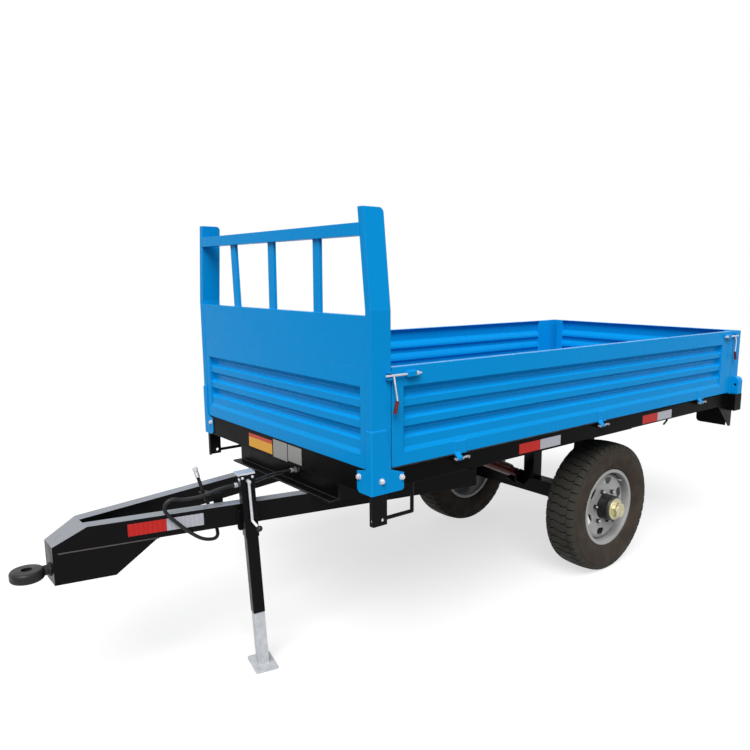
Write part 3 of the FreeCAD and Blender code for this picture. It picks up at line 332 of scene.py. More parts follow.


# Painted sheen: faces that point up are mixed towards a pale grey-blue that stands in for the sky's
# reflection.
drawbar_black = black_enamel.copy()
drawbar_black.name = "drawbar_black"
tree = drawbar_black.node_tree
faces = node(tree, "NewGeometry")
upward = node(tree, "SeparateXYZ")
tree.links.new(faces.outputs["Normal"], upward.inputs[0])
lying = node(tree, "MapRange")
lying.inputs["From Min"].default_value = 0.55
lying.inputs["From Max"].default_value = 0.85
lying.inputs["To Max"].default_value = painted_sheen_share
tree.links.new(upward.outputs["Z"], lying.inputs["Value"])
painted_over(tree, lying.outputs[0], painted_sheen_tint)
dress(drawbar_black, "drawbar")
ripple_step = 0.6
ripple_swell = 0.12


def fitted(name, shape, material, body, sharp=0.7):
    """Turns a shape into a piece that rides on a body."""
    bmesh.ops.recalc_face_normals(shape, faces=shape.faces)
    mesh = bpy.data.meshes.new(name)
    shape.to_mesh(mesh)
    shape.free()
    mesh.materials.append(material)
    mesh.shade_smooth()
    mesh.set_sharp_from_angle(angle=sharp)
    made = bpy.data.objects.new(name, mesh)
    bpy.context.scene.collection.objects.link(made)
    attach(made, body)
    return made


def weld_bead(shape, start, end, radius):
    """Row of overlapping ripples from start to end."""
    start = Vector(start)
    end = Vector(end)
    count = max(3, round((end - start).length / (ripple_step * radius)))
    for i in range(count):
        place = start.lerp(end, i / (count - 1))
        size = radius * (1.0 + ripple_swell * math.sin(2.3 * i))
        bmesh.ops.create_uvsphere(shape, u_segments=8, v_segments=5, radius=size,
                                  matrix=Matrix.Translation(place))


nose_reach = 0.995
nose_half = 0.057
beam_slope = 0.216
beam_width = 0.058
belly_drop = 0.091
belly_rear = 0.619
belly_front = 0.975
flange_edge = -0.005
flange_weld = 0.0035
belly_weld = 0.0032


def beam_y(x):
    """Outer face of the left drawbar beam, x from the front of the bed."""
    return nose_half + beam_slope * (nose_reach - x)


drawbar_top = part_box("drawbar")[1][2]
drawbar_low = drawbar_top - belly_drop
welds = bmesh.new()
for side in (-1, 1):
    weld_bead(welds, (bed_front + flange_edge, side * (beam_y(flange_edge) - 0.002), drawbar_top + 0.002),
              (bed_front + flange_edge, side * (beam_y(flange_edge) - beam_width), drawbar_top + 0.002),
              flange_weld)
    weld_bead(welds, (bed_front + belly_rear, side * (beam_y(belly_rear) + 0.001), drawbar_low),
              (bed_front + belly_front, side * (beam_y(belly_front) + 0.001), drawbar_low), belly_weld)
weld_brown = enamelled("weld_brown", (0.030, 0.018, 0.015, 1.0), (0.012, 0.010, 0.010, 1.0),
                       (0.05, 0.04, 0.04, 1.0), smooth=0.3, rough=0.55, cloud_scale=30.0, peel_scale=200.0,
                       peel_depth=0.4, dust_share=0.02)
fitted("chassis_welds", welds, weld_brown, "chassis", sharp=3.0)

# Tow eye. A forged ring on a thick shank, welded to the closed nose of the drawbar.
# The scale of the forging shows through the thin black paint.
forged_black = enamelled("forged_black", (0.012, 0.012, 0.013, 1.0), (0.005, 0.005, 0.005, 1.0),
                         (0.05, 0.05, 0.052, 1.0), smooth=0.32, rough=0.55, peel_scale=130.0, peel_depth=0.5,
                         radius=0.003, dust_share=0.06, specular=0.25)
dress(forged_black, "tow_eye")
eye_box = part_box("tow_eye")
eye_height = (eye_box[0][2] + eye_box[1][2]) / 2
shank_radius = 0.0225
bead_radius = 0.0045
bead_swell = 0.0004
bead_count = 28
collar = bmesh.new()
for i in range(bead_count):
    turn = 2 * math.pi * i / bead_count
    bead = (bed_front + nose_reach + 0.002, shank_radius * math.cos(turn),
            eye_height + shank_radius * math.sin(turn))
    size = bead_radius + bead_swell * math.sin(3.0 * i)
    bmesh.ops.create_uvsphere(collar, u_segments=8, v_segments=5, radius=size,
                              matrix=Matrix.Translation(bead))
fitted("tow_eye_weld", collar, forged_black, "chassis", sharp=3.0)

# Wheels. Tyres with a block tread on steel disc wheels in silver-grey paint; black hubs, each
# closed by a yellow zinc cap. The six nuts are dark, and the studs stand out of them a little.
silver_paint = enamelled("silver_paint", (0.34, 0.345, 0.34, 1.0), (0.27, 0.275, 0.27, 1.0),
                         (0.50, 0.51, 0.52, 1.0), smooth=0.30, rough=0.46, metallic=0.1, peel_scale=600.0,
                         radius=0.003, dust_share=0.15)
dress(silver_paint, "rim_left", "rim_right")
hub_black = enamelled("hub_black", (0.011, 0.011, 0.012, 1.0), (0.006, 0.006, 0.006, 1.0),
                      (0.035, 0.035, 0.036, 1.0), smooth=0.30, rough=0.5, peel_scale=160.0, peel_depth=0.35,
                      radius=0.002, dust_share=0.04, specular=0.4)
dress(hub_black, "hub_left", "hub_right")
yellow_zinc = enamelled("yellow_zinc", (0.62, 0.60, 0.33, 1.0), (0.40, 0.34, 0.24, 1.0),
                        (0.85, 0.85, 0.66, 1.0), smooth=0.22, rough=0.38, metallic=0.5, cloud_scale=22.0,
                        peel_scale=500.0, radius=0.002, dust_share=0.15)
dress(yellow_zinc, "hub_cap_left", "hub_cap_right")
bright_zinc = enamelled("bright_zinc", (0.66, 0.67, 0.69, 1.0), (0.50, 0.52, 0.56, 1.0),
                        (0.86, 0.87, 0.88, 1.0), smooth=0.24, rough=0.42, metallic=0.4, cloud_scale=30.0,
                        peel_scale=900.0, radius=0.001, dust_share=0.10)

tyre_dusty = (0.045, 0.033, 0.024, 1.0)
tyre_dark = (0.025, 0.019, 0.015, 1.0)
tread_grey = (0.036, 0.034, 0.028, 1.0)
tyre_rubber = enamelled("tyre_rubber", tyre_dusty, tyre_dark, (0.055, 0.047, 0.040, 1.0), smooth=0.62,
                        rough=0.85, cloud_scale=9.0, peel_scale=260.0, peel_depth=0.25, radius=0.002,
                        reach=1.0, dust_share=0.08, specular=0.15)
axle_back = 1.795
axle_x = bed_front - axle_back
axle_height = 0.375
wear_start = 0.310
wear_full = 0.368
tree = tyre_rubber.node_tree
spot = node(tree, "TexCoord")
from_axle = node(tree, "VectorMath", operation="SUBTRACT")
from_axle.inputs[1].default_value = (axle_x, 0.0, axle_height)
tree.links.new(spot.outputs["Object"], from_axle.inputs[0])
in_wheel = node(tree, "VectorMath", operation="MULTIPLY")
in_wheel.inputs[1].default_value = (1.0, 0.0, 1.0)
tree.links.new(from_axle.outputs[0], in_wheel.inputs[0])
off_axle = node(tree, "VectorMath", operation="LENGTH")
tree.links.new(in_wheel.outputs[0], off_axle.inputs[0])
worn = node(tree, "MapRange")
worn.inputs["From Min"].default_value = wear_start
worn.inputs["From Max"].default_value = wear_full
tree.links.new(off_axle.outputs["Value"], worn.inputs["Value"])
painted_over(tree, worn.outputs[0], tread_grey)
tyre_middle = 0.565
tread_radius = 0.375
tread_pitches = 48
crown_half = 0.083
crown_drop = 0.0062
shoulder_slope = 2.35
groove = 0.0085
rib_half = 0.0548
rib_wave = 0.006
wave_pitch = 0.105
rib_share = 0.82
lug_inner = 0.0572
lug_outer = 0.0925
lug_share = 0.84
lug_shift = 0.25
block_taper = 0.95
sidewall = [(0.2063, 0.0648), (0.2223, 0.0708), (0.2262, 0.0800), (0.2330, 0.0840), (0.2345, 0.0858),
            (0.2385, 0.0860), (0.2400, 0.0874), (0.2620, 0.0945), (0.2820, 0.0985), (0.3000, 0.0998),
            (0.3180, 0.0988), (0.3290, 0.0972), (0.3300, 0.0986), (0.3335, 0.0982), (0.3345, 0.0956),
            (0.3420, 0.0930), (0.3480, 0.0890), (0.3545, 0.0800), (0.3600, 0.0660), (0.3640, 0.0440),
            (0.3660, 0.0220), (0.3665, 0.0)]


def crown(across):
    """Radius of the tread over its width."""
    reach = abs(across)
    if reach <= crown_half:
        return tread_radius - crown_drop * (reach / crown_half) ** 2
    return tread_radius - crown_drop - (reach - crown_half) * shoulder_slope


def tread_block(shape, centre, low, high, length, shift, wave, rows):
    """One block of the tread on the top of the wheel, from low to high across and length along it."""
    grid = bmesh.ops.create_grid(shape, x_segments=2, y_segments=rows, size=0.5)
    for vert in grid["verts"]:
        along = vert.co.x
        across = low + (vert.co.y + 0.5) * (high - low)
        x = shift + along * length + wave * math.sin(across * 2 * math.pi / wave_pitch)
        radius = crown(across) - groove
        vert.co = (centre.x + x, centre.y + across, centre.z + math.sqrt(radius * radius - x * x))
    top_faces = {face for vert in grid["verts"] for face in vert.link_faces}
    lifted = bmesh.ops.extrude_face_region(shape, geom=list(top_faces))
    raised = [item for item in lifted["geom"] if isinstance(item, bmesh.types.BMVert)]
    for vert in raised:
        outward = Vector((vert.co.x - centre.x, 0.0, vert.co.z - centre.z)).normalized()
        vert.co += outward * groove
        vert.co.x = centre.x + shift + (vert.co.x - centre.x - shift) * block_taper
    return list(grid["verts"]) + raised


disc_face = 0.612
nut_face = disc_face + 0.015
stud_count = 6
stud_circle = 0.098
stud_ahead = 0.17
valve_circle = 0.186
valve_turn = 2.35
for name, side in (("left", 1), ("right", -1)):
    centre = Vector((axle_x, side * tyre_middle, axle_height))
    shape = bmesh.new()
    outline = [(r, y) for r, y in sidewall] + [(r, -y) for r, y in sidewall[-2::-1]]
    ring = [shape.verts.new((centre.x, centre.y + y, centre.z + r)) for r, y in outline]
    lines = [shape.edges.new((ring[i], ring[(i + 1) % len(ring)])) for i in range(len(ring))]
    bmesh.ops.spin(shape, geom=ring + lines, cent=centre, axis=(0, 1, 0), dvec=(0, 0, 0), angle=2 * math.pi,
                   steps=96, use_merge=True, use_duplicate=False)
    bmesh.ops.remove_doubles(shape, verts=shape.verts, dist=0.00002)
    step = 2 * math.pi / tread_pitches
    arc = step * tread_radius
    lug = arc * lug_share
    offset = arc * lug_shift
    block_verts = tread_block(shape, centre, -rib_half, rib_half, arc * rib_share, 0.0, rib_wave, 10)
    block_verts += tread_block(shape, centre, lug_inner, lug_outer, lug, offset, 0.0, 4)
    block_verts += tread_block(shape, centre, -lug_outer, -lug_inner, lug, -offset, 0.0, 4)
    block = list(dict.fromkeys(block_verts))
    block_faces = list({face for vert in block for face in vert.link_faces})
    for k in range(1, tread_pitches):
        copy = bmesh.ops.duplicate(shape, geom=block + block_faces)
        verts = [item for item in copy["geom"] if isinstance(item, bmesh.types.BMVert)]
        bmesh.ops.rotate(shape, cent=centre, matrix=Matrix.Rotation(step * k, 3, "Y"), verts=verts)
    tyre = fitted("tyre_with_tread_" + name, shape, tyre_rubber, "wheel_" + name, sharp=0.6)
    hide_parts("tyre_" + name)

    studs = bmesh.new()
    outward = Matrix.Rotation(-side * math.pi / 2, 4, "X")
    for i in range(stud_count):
        turn = 2 * math.pi * (i + stud_ahead) / stud_count
        stud = (axle_x + stud_circle * math.cos(turn), side * (nut_face + 0.003),
                axle_height + stud_circle * math.sin(turn))
        bmesh.ops.create_cone(studs, cap_ends=True, segments=16, radius1=0.0065, radius2=0.0052, depth=0.008,
                              matrix=Matrix.Translation(stud) @ outward)
    valve = (axle_x + valve_circle * math.cos(valve_turn), side * (disc_face + 0.003),
             axle_height + valve_circle * math.sin(valve_turn))
    bmesh.ops.create_cone(studs, cap_ends=True, segments=12, radius1=0.0045, radius2=0.0035, depth=0.034,
                          matrix=Matrix.Translation(valve) @ outward)
    fitted("wheel_studs_" + name, studs, bright_zinc, "wheel_" + name)

# Jack. A square tube clamped to the left beam with a galvanised leg inside; on its head sit a
# zinc plated cover, two rivets and the crank, a bright bent rod with a black ball.
beam_turn = math.atan(beam_slope)
jack_lean = math.radians(2.8)
jack_height = 0.884
jack_head = jack_height / math.cos(jack_lean)
jack_side = 0.058
jack_x = 0.238
jack_gap = 0.039
jack_frame = (Matrix.Translation((bed_front + jack_x, beam_y(jack_x) + jack_gap, 0.0))
              @ Matrix.Rotation(-beam_turn, 4, "Z") @ Matrix.Rotation(jack_lean, 4, "Y"))
dress(black_enamel, "jack_tube", "jack_mount")
dress(bright_zinc, "jack_cap", "jack_crank")
galvanised = enamelled("galvanised", (0.55, 0.57, 0.59, 1.0), (0.41, 0.43, 0.46, 1.0),
                       (0.70, 0.71, 0.72, 1.0), smooth=0.30, rough=0.48, metallic=0.25, cloud_scale=38.0,
                       peel_scale=240.0, peel_depth=0.2, radius=0.0015, dust_share=0.15)
dress(galvanised, "jack_leg")
black_ball = enamelled("black_ball", (0.012, 0.012, 0.012, 1.0), (0.008, 0.008, 0.008, 1.0),
                       (0.02, 0.02, 0.02, 1.0), smooth=0.18, rough=0.3, peel_scale=300.0, dust_share=0.05,
                       specular=0.3)
dress(black_ball, "jack_knob")


def dome(shape, place, radius, height):
    """Flat-bottomed round head on the plane z = 0 of its place."""
    ball = bmesh.ops.create_uvsphere(shape, u_segments=16, v_segments=8, radius=radius)
    bmesh.ops.scale(shape, vec=(1.0, 1.0, height / radius), verts=ball["verts"])
    edges = list({edge for vert in ball["verts"] for edge in vert.link_edges})
    faces = list({face for vert in ball["verts"] for face in vert.link_faces})
    cut = bmesh.ops.bisect_plane(shape, geom=ball["verts"] + edges + faces, plane_co=(0, 0, 0),
                                 plane_no=(0, 0, 1), clear_inner=True)
    kept = [item for item in cut["geom"] if isinstance(item, bmesh.types.BMVert)]
    rim_edges = [edge for edge in shape.edges if edge.is_boundary]
    bmesh.ops.holes_fill(shape, edges=rim_edges, sides=0)
    bmesh.ops.transform(shape, matrix=place, verts=kept)


def facing(point, direction):
    """Place whose z axis looks along a direction."""
    return Matrix.Translation(point) @ Vector(direction).to_track_quat("Z", "Y").to_matrix().to_4x4()


rivet_apart = 0.021
rivet_drop = 0.020
rivet_radius = 0.0062
rivet_rise = 0.0042
pivot_drop = 0.030
pivot_radius = 0.0085
pivot_rise = 0.006
rivets = bmesh.new()
for x in (-rivet_apart, rivet_apart):
    for side in (1, -1):
        spot_on_tube = (x, side * jack_side / 2, jack_head - rivet_drop)
        dome(rivets, jack_frame @ facing(spot_on_tube, (0, side, 0)), rivet_radius, rivet_rise)
pivot_spot = (jack_side / 2, 0.006, jack_head - pivot_drop)
dome(rivets, jack_frame @ facing(pivot_spot, (1, 0, 0)), pivot_radius, pivot_rise)
fitted("jack_rivets", rivets, bright_zinc, "chassis")

# Hydraulic hose. Black rubber hose from a bulkhead fitting on the front cross plate, past the
# jack, forward along the beam and back under it, up to its coupling with a dust cap.
hose_route = [(-0.010, 0.122, 0.807), (0.040, 0.122, 0.807), (0.100, 0.151, 0.816), (0.165, 0.189, 0.820),
              (0.2452, 0.2170, 0.818), (0.3527, 0.1938, 0.818), (0.440, 0.184, 0.793), (0.520, 0.172, 0.789),
              (0.565, 0.163, 0.802), (0.5915, 0.1575, 0.784), (0.5965, 0.1565, 0.7524), (0.556, 0.168, 0.704),
              (0.506, 0.181, 0.651), (0.450, 0.192, 0.607), (0.372, 0.165, 0.588), (0.356, 0.104, 0.630),
              (0.370, 0.084, 0.700), (0.396, 0.080, 0.775), (0.416, 0.080, 0.848)]
hose_radius = 0.0075


def round_bar(name, route, radius, material, steps, fineness):
    """Hose or round bar along a route of points, with x counted from the front of the bed."""
    line = bpy.data.curves.new(name, "CURVE")
    line.dimensions = "3D"
    run = line.splines.new("NURBS")
    run.points.add(len(route) - 1)
    for point, (x, y, z) in zip(run.points, route):
        point.co = (bed_front + x, y, z, 1.0)
    run.order_u = 3
    run.use_endpoint_u = True
    run.resolution_u = steps
    line.bevel_depth = radius
    line.bevel_resolution = fineness
    line.use_fill_caps = True
    line.materials.append(material)
    made = bpy.data.objects.new(name, line)
    bpy.context.scene.collection.objects.link(made)
    return made


hose_rubber = enamelled("hose_rubber", (0.016, 0.016, 0.017, 1.0), (0.010, 0.010, 0.011, 1.0),
                        (0.02, 0.02, 0.02, 1.0), smooth=0.34, rough=0.5, cloud_scale=14.0, peel_scale=900.0,
                        peel_depth=0.3, radius=0.0005, dust_share=0.06, specular=0.2)
hose = round_bar("hydraulic_hose", hose_route, hose_radius, hose_rubber, 14, 6)
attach(hose, "chassis")
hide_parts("hose")

hose_end = Vector(hose_route[-1]) + Vector((bed_front, 0.0, 0.0))
hose_way = Vector(hose_route[-1]) - Vector(hose_route[-2])
end_frame = facing(hose_end, hose_way)


def turned(shape, outline, place):
    """Closed turned part from (radius, height) points, its axis along z of its place."""
    ring = [shape.verts.new((r, 0.0, h)) for r, h in outline]
    lines = [shape.edges.new((ring[i], ring[i + 1])) for i in range(len(ring) - 1)]
    bmesh.ops.spin(shape, geom=ring + lines, cent=(0, 0, 0), axis=(0, 0, 1), dvec=(0, 0, 0),
                   angle=2 * math.pi, steps=32, use_merge=True, use_duplicate=False)
    bmesh.ops.remove_doubles(shape, verts=shape.verts, dist=0.00001)
    bmesh.ops.transform(shape, matrix=place, verts=shape.verts)


sleeve = bmesh.new()
turned(sleeve, [(0.0, -0.001), (0.0092, -0.001), (0.0096, 0.001), (0.0096, 0.006), (0.0088, 0.0068),
                (0.0088, 0.0084), (0.0096, 0.0092), (0.0096, 0.0138), (0.0088, 0.0146), (0.0088, 0.0162),
                (0.0096, 0.0170), (0.0096, 0.0220), (0.0080, 0.0240), (0.0074, 0.0250), (0.0074, 0.0300),
                (0.0, 0.0300)], end_frame)
hose_sleeve = fitted("hose_end_sleeve", sleeve, bright_zinc, "chassis")
pale_cap = enamelled("pale_cap", (0.55, 0.56, 0.56, 1.0), (0.44, 0.45, 0.46, 1.0), (0.7, 0.7, 0.7, 1.0),
                     smooth=0.22, rough=0.34, peel_scale=500.0, dust_share=0.15)
cap = bmesh.new()
turned(cap, [(0.0, 0.0275), (0.0108, 0.0275), (0.0116, 0.0285), (0.0116, 0.0310), (0.0108, 0.0320),
             (0.0108, 0.0400), (0.0100, 0.0432), (0.0080, 0.0452), (0.0045, 0.0460),
             (0.0, 0.0460)], end_frame)
hose_cap = fitted("hose_dust_cap", cap, pale_cap, "chassis")
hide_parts("hose_coupling")
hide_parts("hose_coupling")
dress(bright_zinc, "hose_clip", "hose_fitting")
dress(hose_rubber, "hose_band")

# Tipping ram. Between the axle and a cross member of the bed; dark red barrel with a black gland
# and a hard chromed rod.
ram_base = Vector((bed_front - 1.705, 0.0, 0.4655))
ram_head = Vector((bed_front - 0.950, 0.0, 0.800))
ram_way = (ram_head - ram_base).normalized()
gland_start = 0.600
ram_red = enamelled("ram_red", (0.13, 0.009, 0.008, 1.0), (0.09, 0.006, 0.005, 1.0), (0.2, 0.04, 0.03, 1.0),
                    smooth=0.25, rough=0.4, radius=0.002, dust_share=0.05, specular=0.2)
tree = ram_red.node_tree
spot = node(tree, "TexCoord")
from_base = node(tree, "VectorMath", operation="SUBTRACT")
from_base.inputs[1].default_value = ram_base
tree.links.new(spot.outputs["Object"], from_base.inputs[0])
along = node(tree, "VectorMath", operation="DOT_PRODUCT")
along.inputs[1].default_value = ram_way
tree.links.new(from_base.outputs[0], along.inputs[0])
past = node(tree, "Math", operation="GREATER_THAN")
past.inputs[1].default_value = gland_start
tree.links.new(along.outputs["Value"], past.inputs[0])
painted_over(tree, past.outputs[0], black)
dress(ram_red, "ram_barrel")
chromed = enamelled("chromed_rod", (0.72, 0.73, 0.75, 1.0), (0.66, 0.67, 0.69, 1.0), (0.85, 0.85, 0.86, 1.0),
                    smooth=0.07, rough=0.14, metallic=1.0, radius=0.001, dust_share=0.05)
dress(chromed, "ram_rod")

# Bed frame. Folded side rails, front and rear beams, cross members, lugs, hanging plates with
# their rope rods and lamp brackets, all black; a small rope hook stands under each side rail.
rail_black = enamelled("rail_black", (0.0036, 0.0037, 0.0038, 1.0), (0.0026, 0.0026, 0.0028, 1.0),
                       (0.015, 0.015, 0.016, 1.0), smooth=0.28, rough=0.42, radius=0.0025, dust_share=0.005,
                       specular=0.03)
dress(rail_black, "bed_frame")
dress(black_enamel, "bed_lugs", "hanging_plates", "lamp_brackets")
rail_face = 0.745
hook_radius = 0.0058
for name, side in (("left", 1), ("right", -1)):
    hook_line = [(-2.236, side * 0.722, bed_edge - 0.083), (-2.230, side * 0.727, bed_edge - 0.094),
                 (-2.205, side * 0.732, bed_edge - 0.103), (-2.178, side * 0.735, bed_edge - 0.113)]
    hook = round_bar("rope_hook_" + name, hook_line, hook_radius, black_enamel, 12, 3)
    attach(hook, "bed")

# Conspicuity tape. Strips of red and silver reflecting film on the side rails and on the outer
# faces of the drawbar; the film has a fine pattern of cells sealed by paler lines.
cells, cells_in, cells_out = effect(
    "film_cells", (("Colour", "Color", grey), ("Line", "Color", grey), ("Scale", "Float", 260.0)),
    (("Colour", "Color"), ("Height", "Float")))
spot = node(cells, "TexCoord")
grid = node(cells, "TexVoronoi", feature="DISTANCE_TO_EDGE")
grid.inputs["Randomness"].default_value = 0.15
cells.links.new(spot.outputs["Object"], grid.inputs["Vector"])
cells.links.new(cells_in.outputs["Scale"], grid.inputs["Scale"])
line = node(cells, "Math", operation="LESS_THAN")
line.inputs[1].default_value = 0.07
cells.links.new(grid.outputs["Distance"], line.inputs[0])
two = node(cells, "Mix", data_type="RGBA")
cells.links.new(line.outputs[0], two.inputs["Factor"])
cells.links.new(cells_in.outputs["Colour"], two.inputs[6])
cells.links.new(cells_in.outputs["Line"], two.inputs[7])
cells.links.new(two.outputs[2], cells_out.inputs["Colour"])
cells.links.new(line.outputs[0], cells_out.inputs["Height"])


def film_material(name, colour, line_colour):
    """Material of reflecting film: cells of a colour between paler lines."""
    material = bpy.data.materials.new(name)
    material.use_nodes = True
    tree = material.node_tree
    shader = tree.nodes["Principled BSDF"]
    shader.inputs["Roughness"].default_value = 0.3
    shader.inputs["Specular IOR Level"].default_value = 0.12
    pattern = placed_effect(tree, cells, {"Colour": colour, "Line": line_colour, "Scale": 260.0})
    tree.links.new(pattern.outputs["Colour"], shader.inputs["Base Color"])
    bump = node(tree, "Bump")
    bump.inputs["Strength"].default_value = 0.15
    bump.inputs["Distance"].default_value = 0.0003
    tree.links.new(pattern.outputs["Height"], bump.inputs["Height"])
    tree.links.new(bump.outputs["Normal"], shader.inputs["Normal"])
    return material


red_film = film_material("red_film", (0.43, 0.013, 0.010, 1.0), (0.50, 0.035, 0.03, 1.0))
silver_film = film_material("silver_film", (0.36, 0.365, 0.41, 1.0), (0.46, 0.46, 0.50, 1.0))
film_depth = 0.0006


def sticker(shape, place, width, height, corner):
    """Thin plate on the plane y = 0 of its place, width along x and height along z."""
    made = bmesh.ops.create_cube(shape, size=1.0)
    bmesh.ops.scale(shape, vec=(width, film_depth, height), verts=made["verts"])
    bmesh.ops.translate(shape, vec=(0.0, film_depth / 2, 0.0), verts=made["verts"])
    edges = list({edge for vert in made["verts"] for edge in vert.link_edges})
    upright = [edge for edge in edges if abs((edge.verts[0].co - edge.verts[1].co).normalized().y) > 0.9]
    rounded = bmesh.ops.bevel(shape, geom=upright, offset=corner, offset_type="OFFSET", segments=3,
                              profile=0.5, affect="EDGES", material=-1)
    verts = {vert for face in rounded["faces"] for vert in face.verts}
    verts |= {vert for vert in made["verts"] if vert.is_valid}
    bmesh.ops.transform(shape, matrix=place, verts=list(verts))


rail_red = ((-0.876, -1.030), (-1.929, -2.086))
rail_silver = ((-1.030, -1.186), (-2.086, -2.241))
rail_tape_drop = 0.0535
rail_tape_height = 0.049
drawbar_red = (0.730, 0.585)
drawbar_silver = (0.585, 0.440)
drawbar_tape_drop = 0.2475
drawbar_tape_height = 0.051
tape_gap = 0.0006
tape_corner = 0.0008
for name, side in (("left", 1), ("right", -1)):
    outward = Matrix.Identity(4) if side > 0 else Matrix.Rotation(math.pi, 4, "Z")
    along_beam = Matrix.Rotation(-side * beam_turn, 4, "Z")
    for colour_name, material, spans in (("red", red_film, rail_red), ("silver", silver_film, rail_silver)):
        strip = bmesh.new()
        for a, b in spans:
            x = (a + b) / 2
            length = abs(b - a) - tape_gap
            middle = Matrix.Translation((bed_front + x, side * rail_face, bed_edge - rail_tape_drop))
            sticker(strip, middle @ outward, length, rail_tape_height, tape_corner)
        fitted("rail_tape_%s_%s" % (colour_name, name), strip, material, "bed")
    for colour_name, material, (a, b) in (
            ("red", red_film, drawbar_red), ("silver", silver_film, drawbar_silver)):
        strip = bmesh.new()
        x = (a + b) / 2
        length = (a - b) / math.cos(beam_turn) - tape_gap
        middle = Matrix.Translation((bed_front + x, side * beam_y(x), bed_edge - drawbar_tape_drop))
        sticker(strip, middle @ along_beam @ outward, length, drawbar_tape_height, tape_corner)
        fitted("drawbar_tape_%s_%s" % (colour_name, name), strip, material, "chassis")

# Labels. Three blank plates on the front beam: one in orange with a red band along its top,
# and two plain grey ones.
orange_plate = enamelled("orange_plate", (0.68, 0.33, 0.020, 1.0), (0.61, 0.29, 0.016, 1.0),
                         (0.76, 0.40, 0.05, 1.0), smooth=0.28, rough=0.4, peel_scale=300.0, peel_depth=0.04,
                         radius=0.0003, dust_share=0.03, specular=0.2)
red_plate = enamelled("red_plate", (0.52, 0.05, 0.015, 1.0), (0.42, 0.04, 0.012, 1.0),
                      (0.6, 0.1, 0.03, 1.0), smooth=0.28, rough=0.4, peel_scale=300.0, peel_depth=0.04,
                      radius=0.0003, dust_share=0.03, specular=0.2)
grey_plate = enamelled("grey_plate", (0.28, 0.28, 0.27, 1.0), (0.24, 0.24, 0.23, 1.0), (0.5, 0.5, 0.5, 1.0),
                       smooth=0.3, rough=0.42, metallic=0.3, peel_scale=300.0, peel_depth=0.04, radius=0.0003,
                       dust_share=0.03, specular=0.2)
forward = Matrix.Rotation(-math.pi / 2, 4, "Z")
plate_corner = 0.0015
for name, material, y0, y1, z0, z1 in (
        ("label_orange", orange_plate, -0.254, -0.023, -0.085, -0.036),
        ("label_red_band", red_plate, -0.254, -0.023, -0.0358, -0.018),
        ("label_grey_wide", grey_plate, -0.013, 0.115, -0.092, -0.007),
        ("label_grey_square", grey_plate, 0.122, 0.239, -0.085, -0.008)):
    plate = bmesh.new()
    middle = Matrix.Translation((bed_front, (y0 + y1) / 2, bed_edge + (z0 + z1) / 2)) @ forward
    sticker(plate, middle, y1 - y0, z1 - z0, plate_corner)
    fitted(name, plate, material, "bed")

# Blue bodywork. Folded 3 mm sheet: headboard posts, panels, top rail with three slats, side
# boards, tailboard, rear posts and ears, all in one bright blue enamel. The floor is duller.
blue = (0.0012, 0.256, 0.632, 1.0)
blue_shade = (0.0011, 0.248, 0.612, 1.0)
# Painted highlight colour for the rounded folds of the blue sheet.
blue_edge_highlight = (0.030, 0.36, 0.80, 1.0)
blue_enamel = enamelled("blue_enamel", blue, blue_shade, blue_edge_highlight, smooth=0.22, rough=0.34,
                        cloud_scale=1.6, peel_scale=380.0, peel_depth=0.05, radius=0.003, reach=2.5,
                        dust_share=0.004, specular=0.04)
dress(blue_enamel, "headboard_panel", "headboard_lower", "headboard_rack", "headboard_posts", "rear_posts",
      "rear_ears", "corner_brackets", "tailboard", "side_board_left", "side_board_right", "latch_cradles")
floor_enamel = enamelled("floor_enamel", (0.010, 0.21, 0.54, 1.0), (0.011, 0.17, 0.43, 1.0),
                         (0.035, 0.34, 0.76, 1.0), smooth=0.32, rough=0.55, cloud_scale=5.0, peel_scale=300.0,
                         peel_depth=0.08, radius=0.002, dust_share=0.2, specular=0.2)
dress(floor_enamel, "bed_floor")
thin_weld = 0.0026
thick_weld = 0.0035
post_inner = 0.7225
panel_face = -0.003
bracket_top = 0.156
slat_half = 0.023
slat_face = -0.008
slat_low = 0.6005
slat_high = 0.8965


def bed_weld(start, end, radius):
    """Weld on the bodywork between points counted from the front and the edge of the bed."""
    edge = Vector((bed_front, 0.0, bed_edge))
    weld_bead(bed_welds, edge + Vector(start), edge + Vector(end), radius)


bed_welds = bmesh.new()
for side in (-1, 1):
    for low, high in ((0.410, 0.470), (0.540, 0.596)):
        bed_weld((panel_face, side * post_inner, low), (panel_face, side * post_inner, high), thin_weld)
    bed_weld((0.002, side * 0.726, bracket_top), (0.002, side * 0.752, bracket_top), thick_weld)
    bed_weld((-0.004, side * 0.7575, bracket_top), (-0.068, side * 0.7575, bracket_top), thick_weld)
for foot, head in ((-0.347, -0.365), (0.002, 0.005), (0.375, 0.379)):
    for y, z in ((foot, slat_low), (head, slat_high)):
        bed_weld((slat_face, y - slat_half, z), (slat_face, y + slat_half, z), thin_weld)
fitted("bed_welds", bed_welds, blue_enamel, "bed", sharp=3.0)

# Corner bolts. Bright flanged hexagon bolts with washers hold the folded corner plates to the
# front beam and the side rails.
bolt_across = 0.018
bolt_height = 0.009
bolt_washer = 0.013
washer_depth = 0.002
plate_front = 0.005
front_bolt_side = 0.679
front_bolt_drop = 0.034
plate_side = 0.761
side_bolt_drop = 0.046
side_bolts = (-0.045, -0.147)


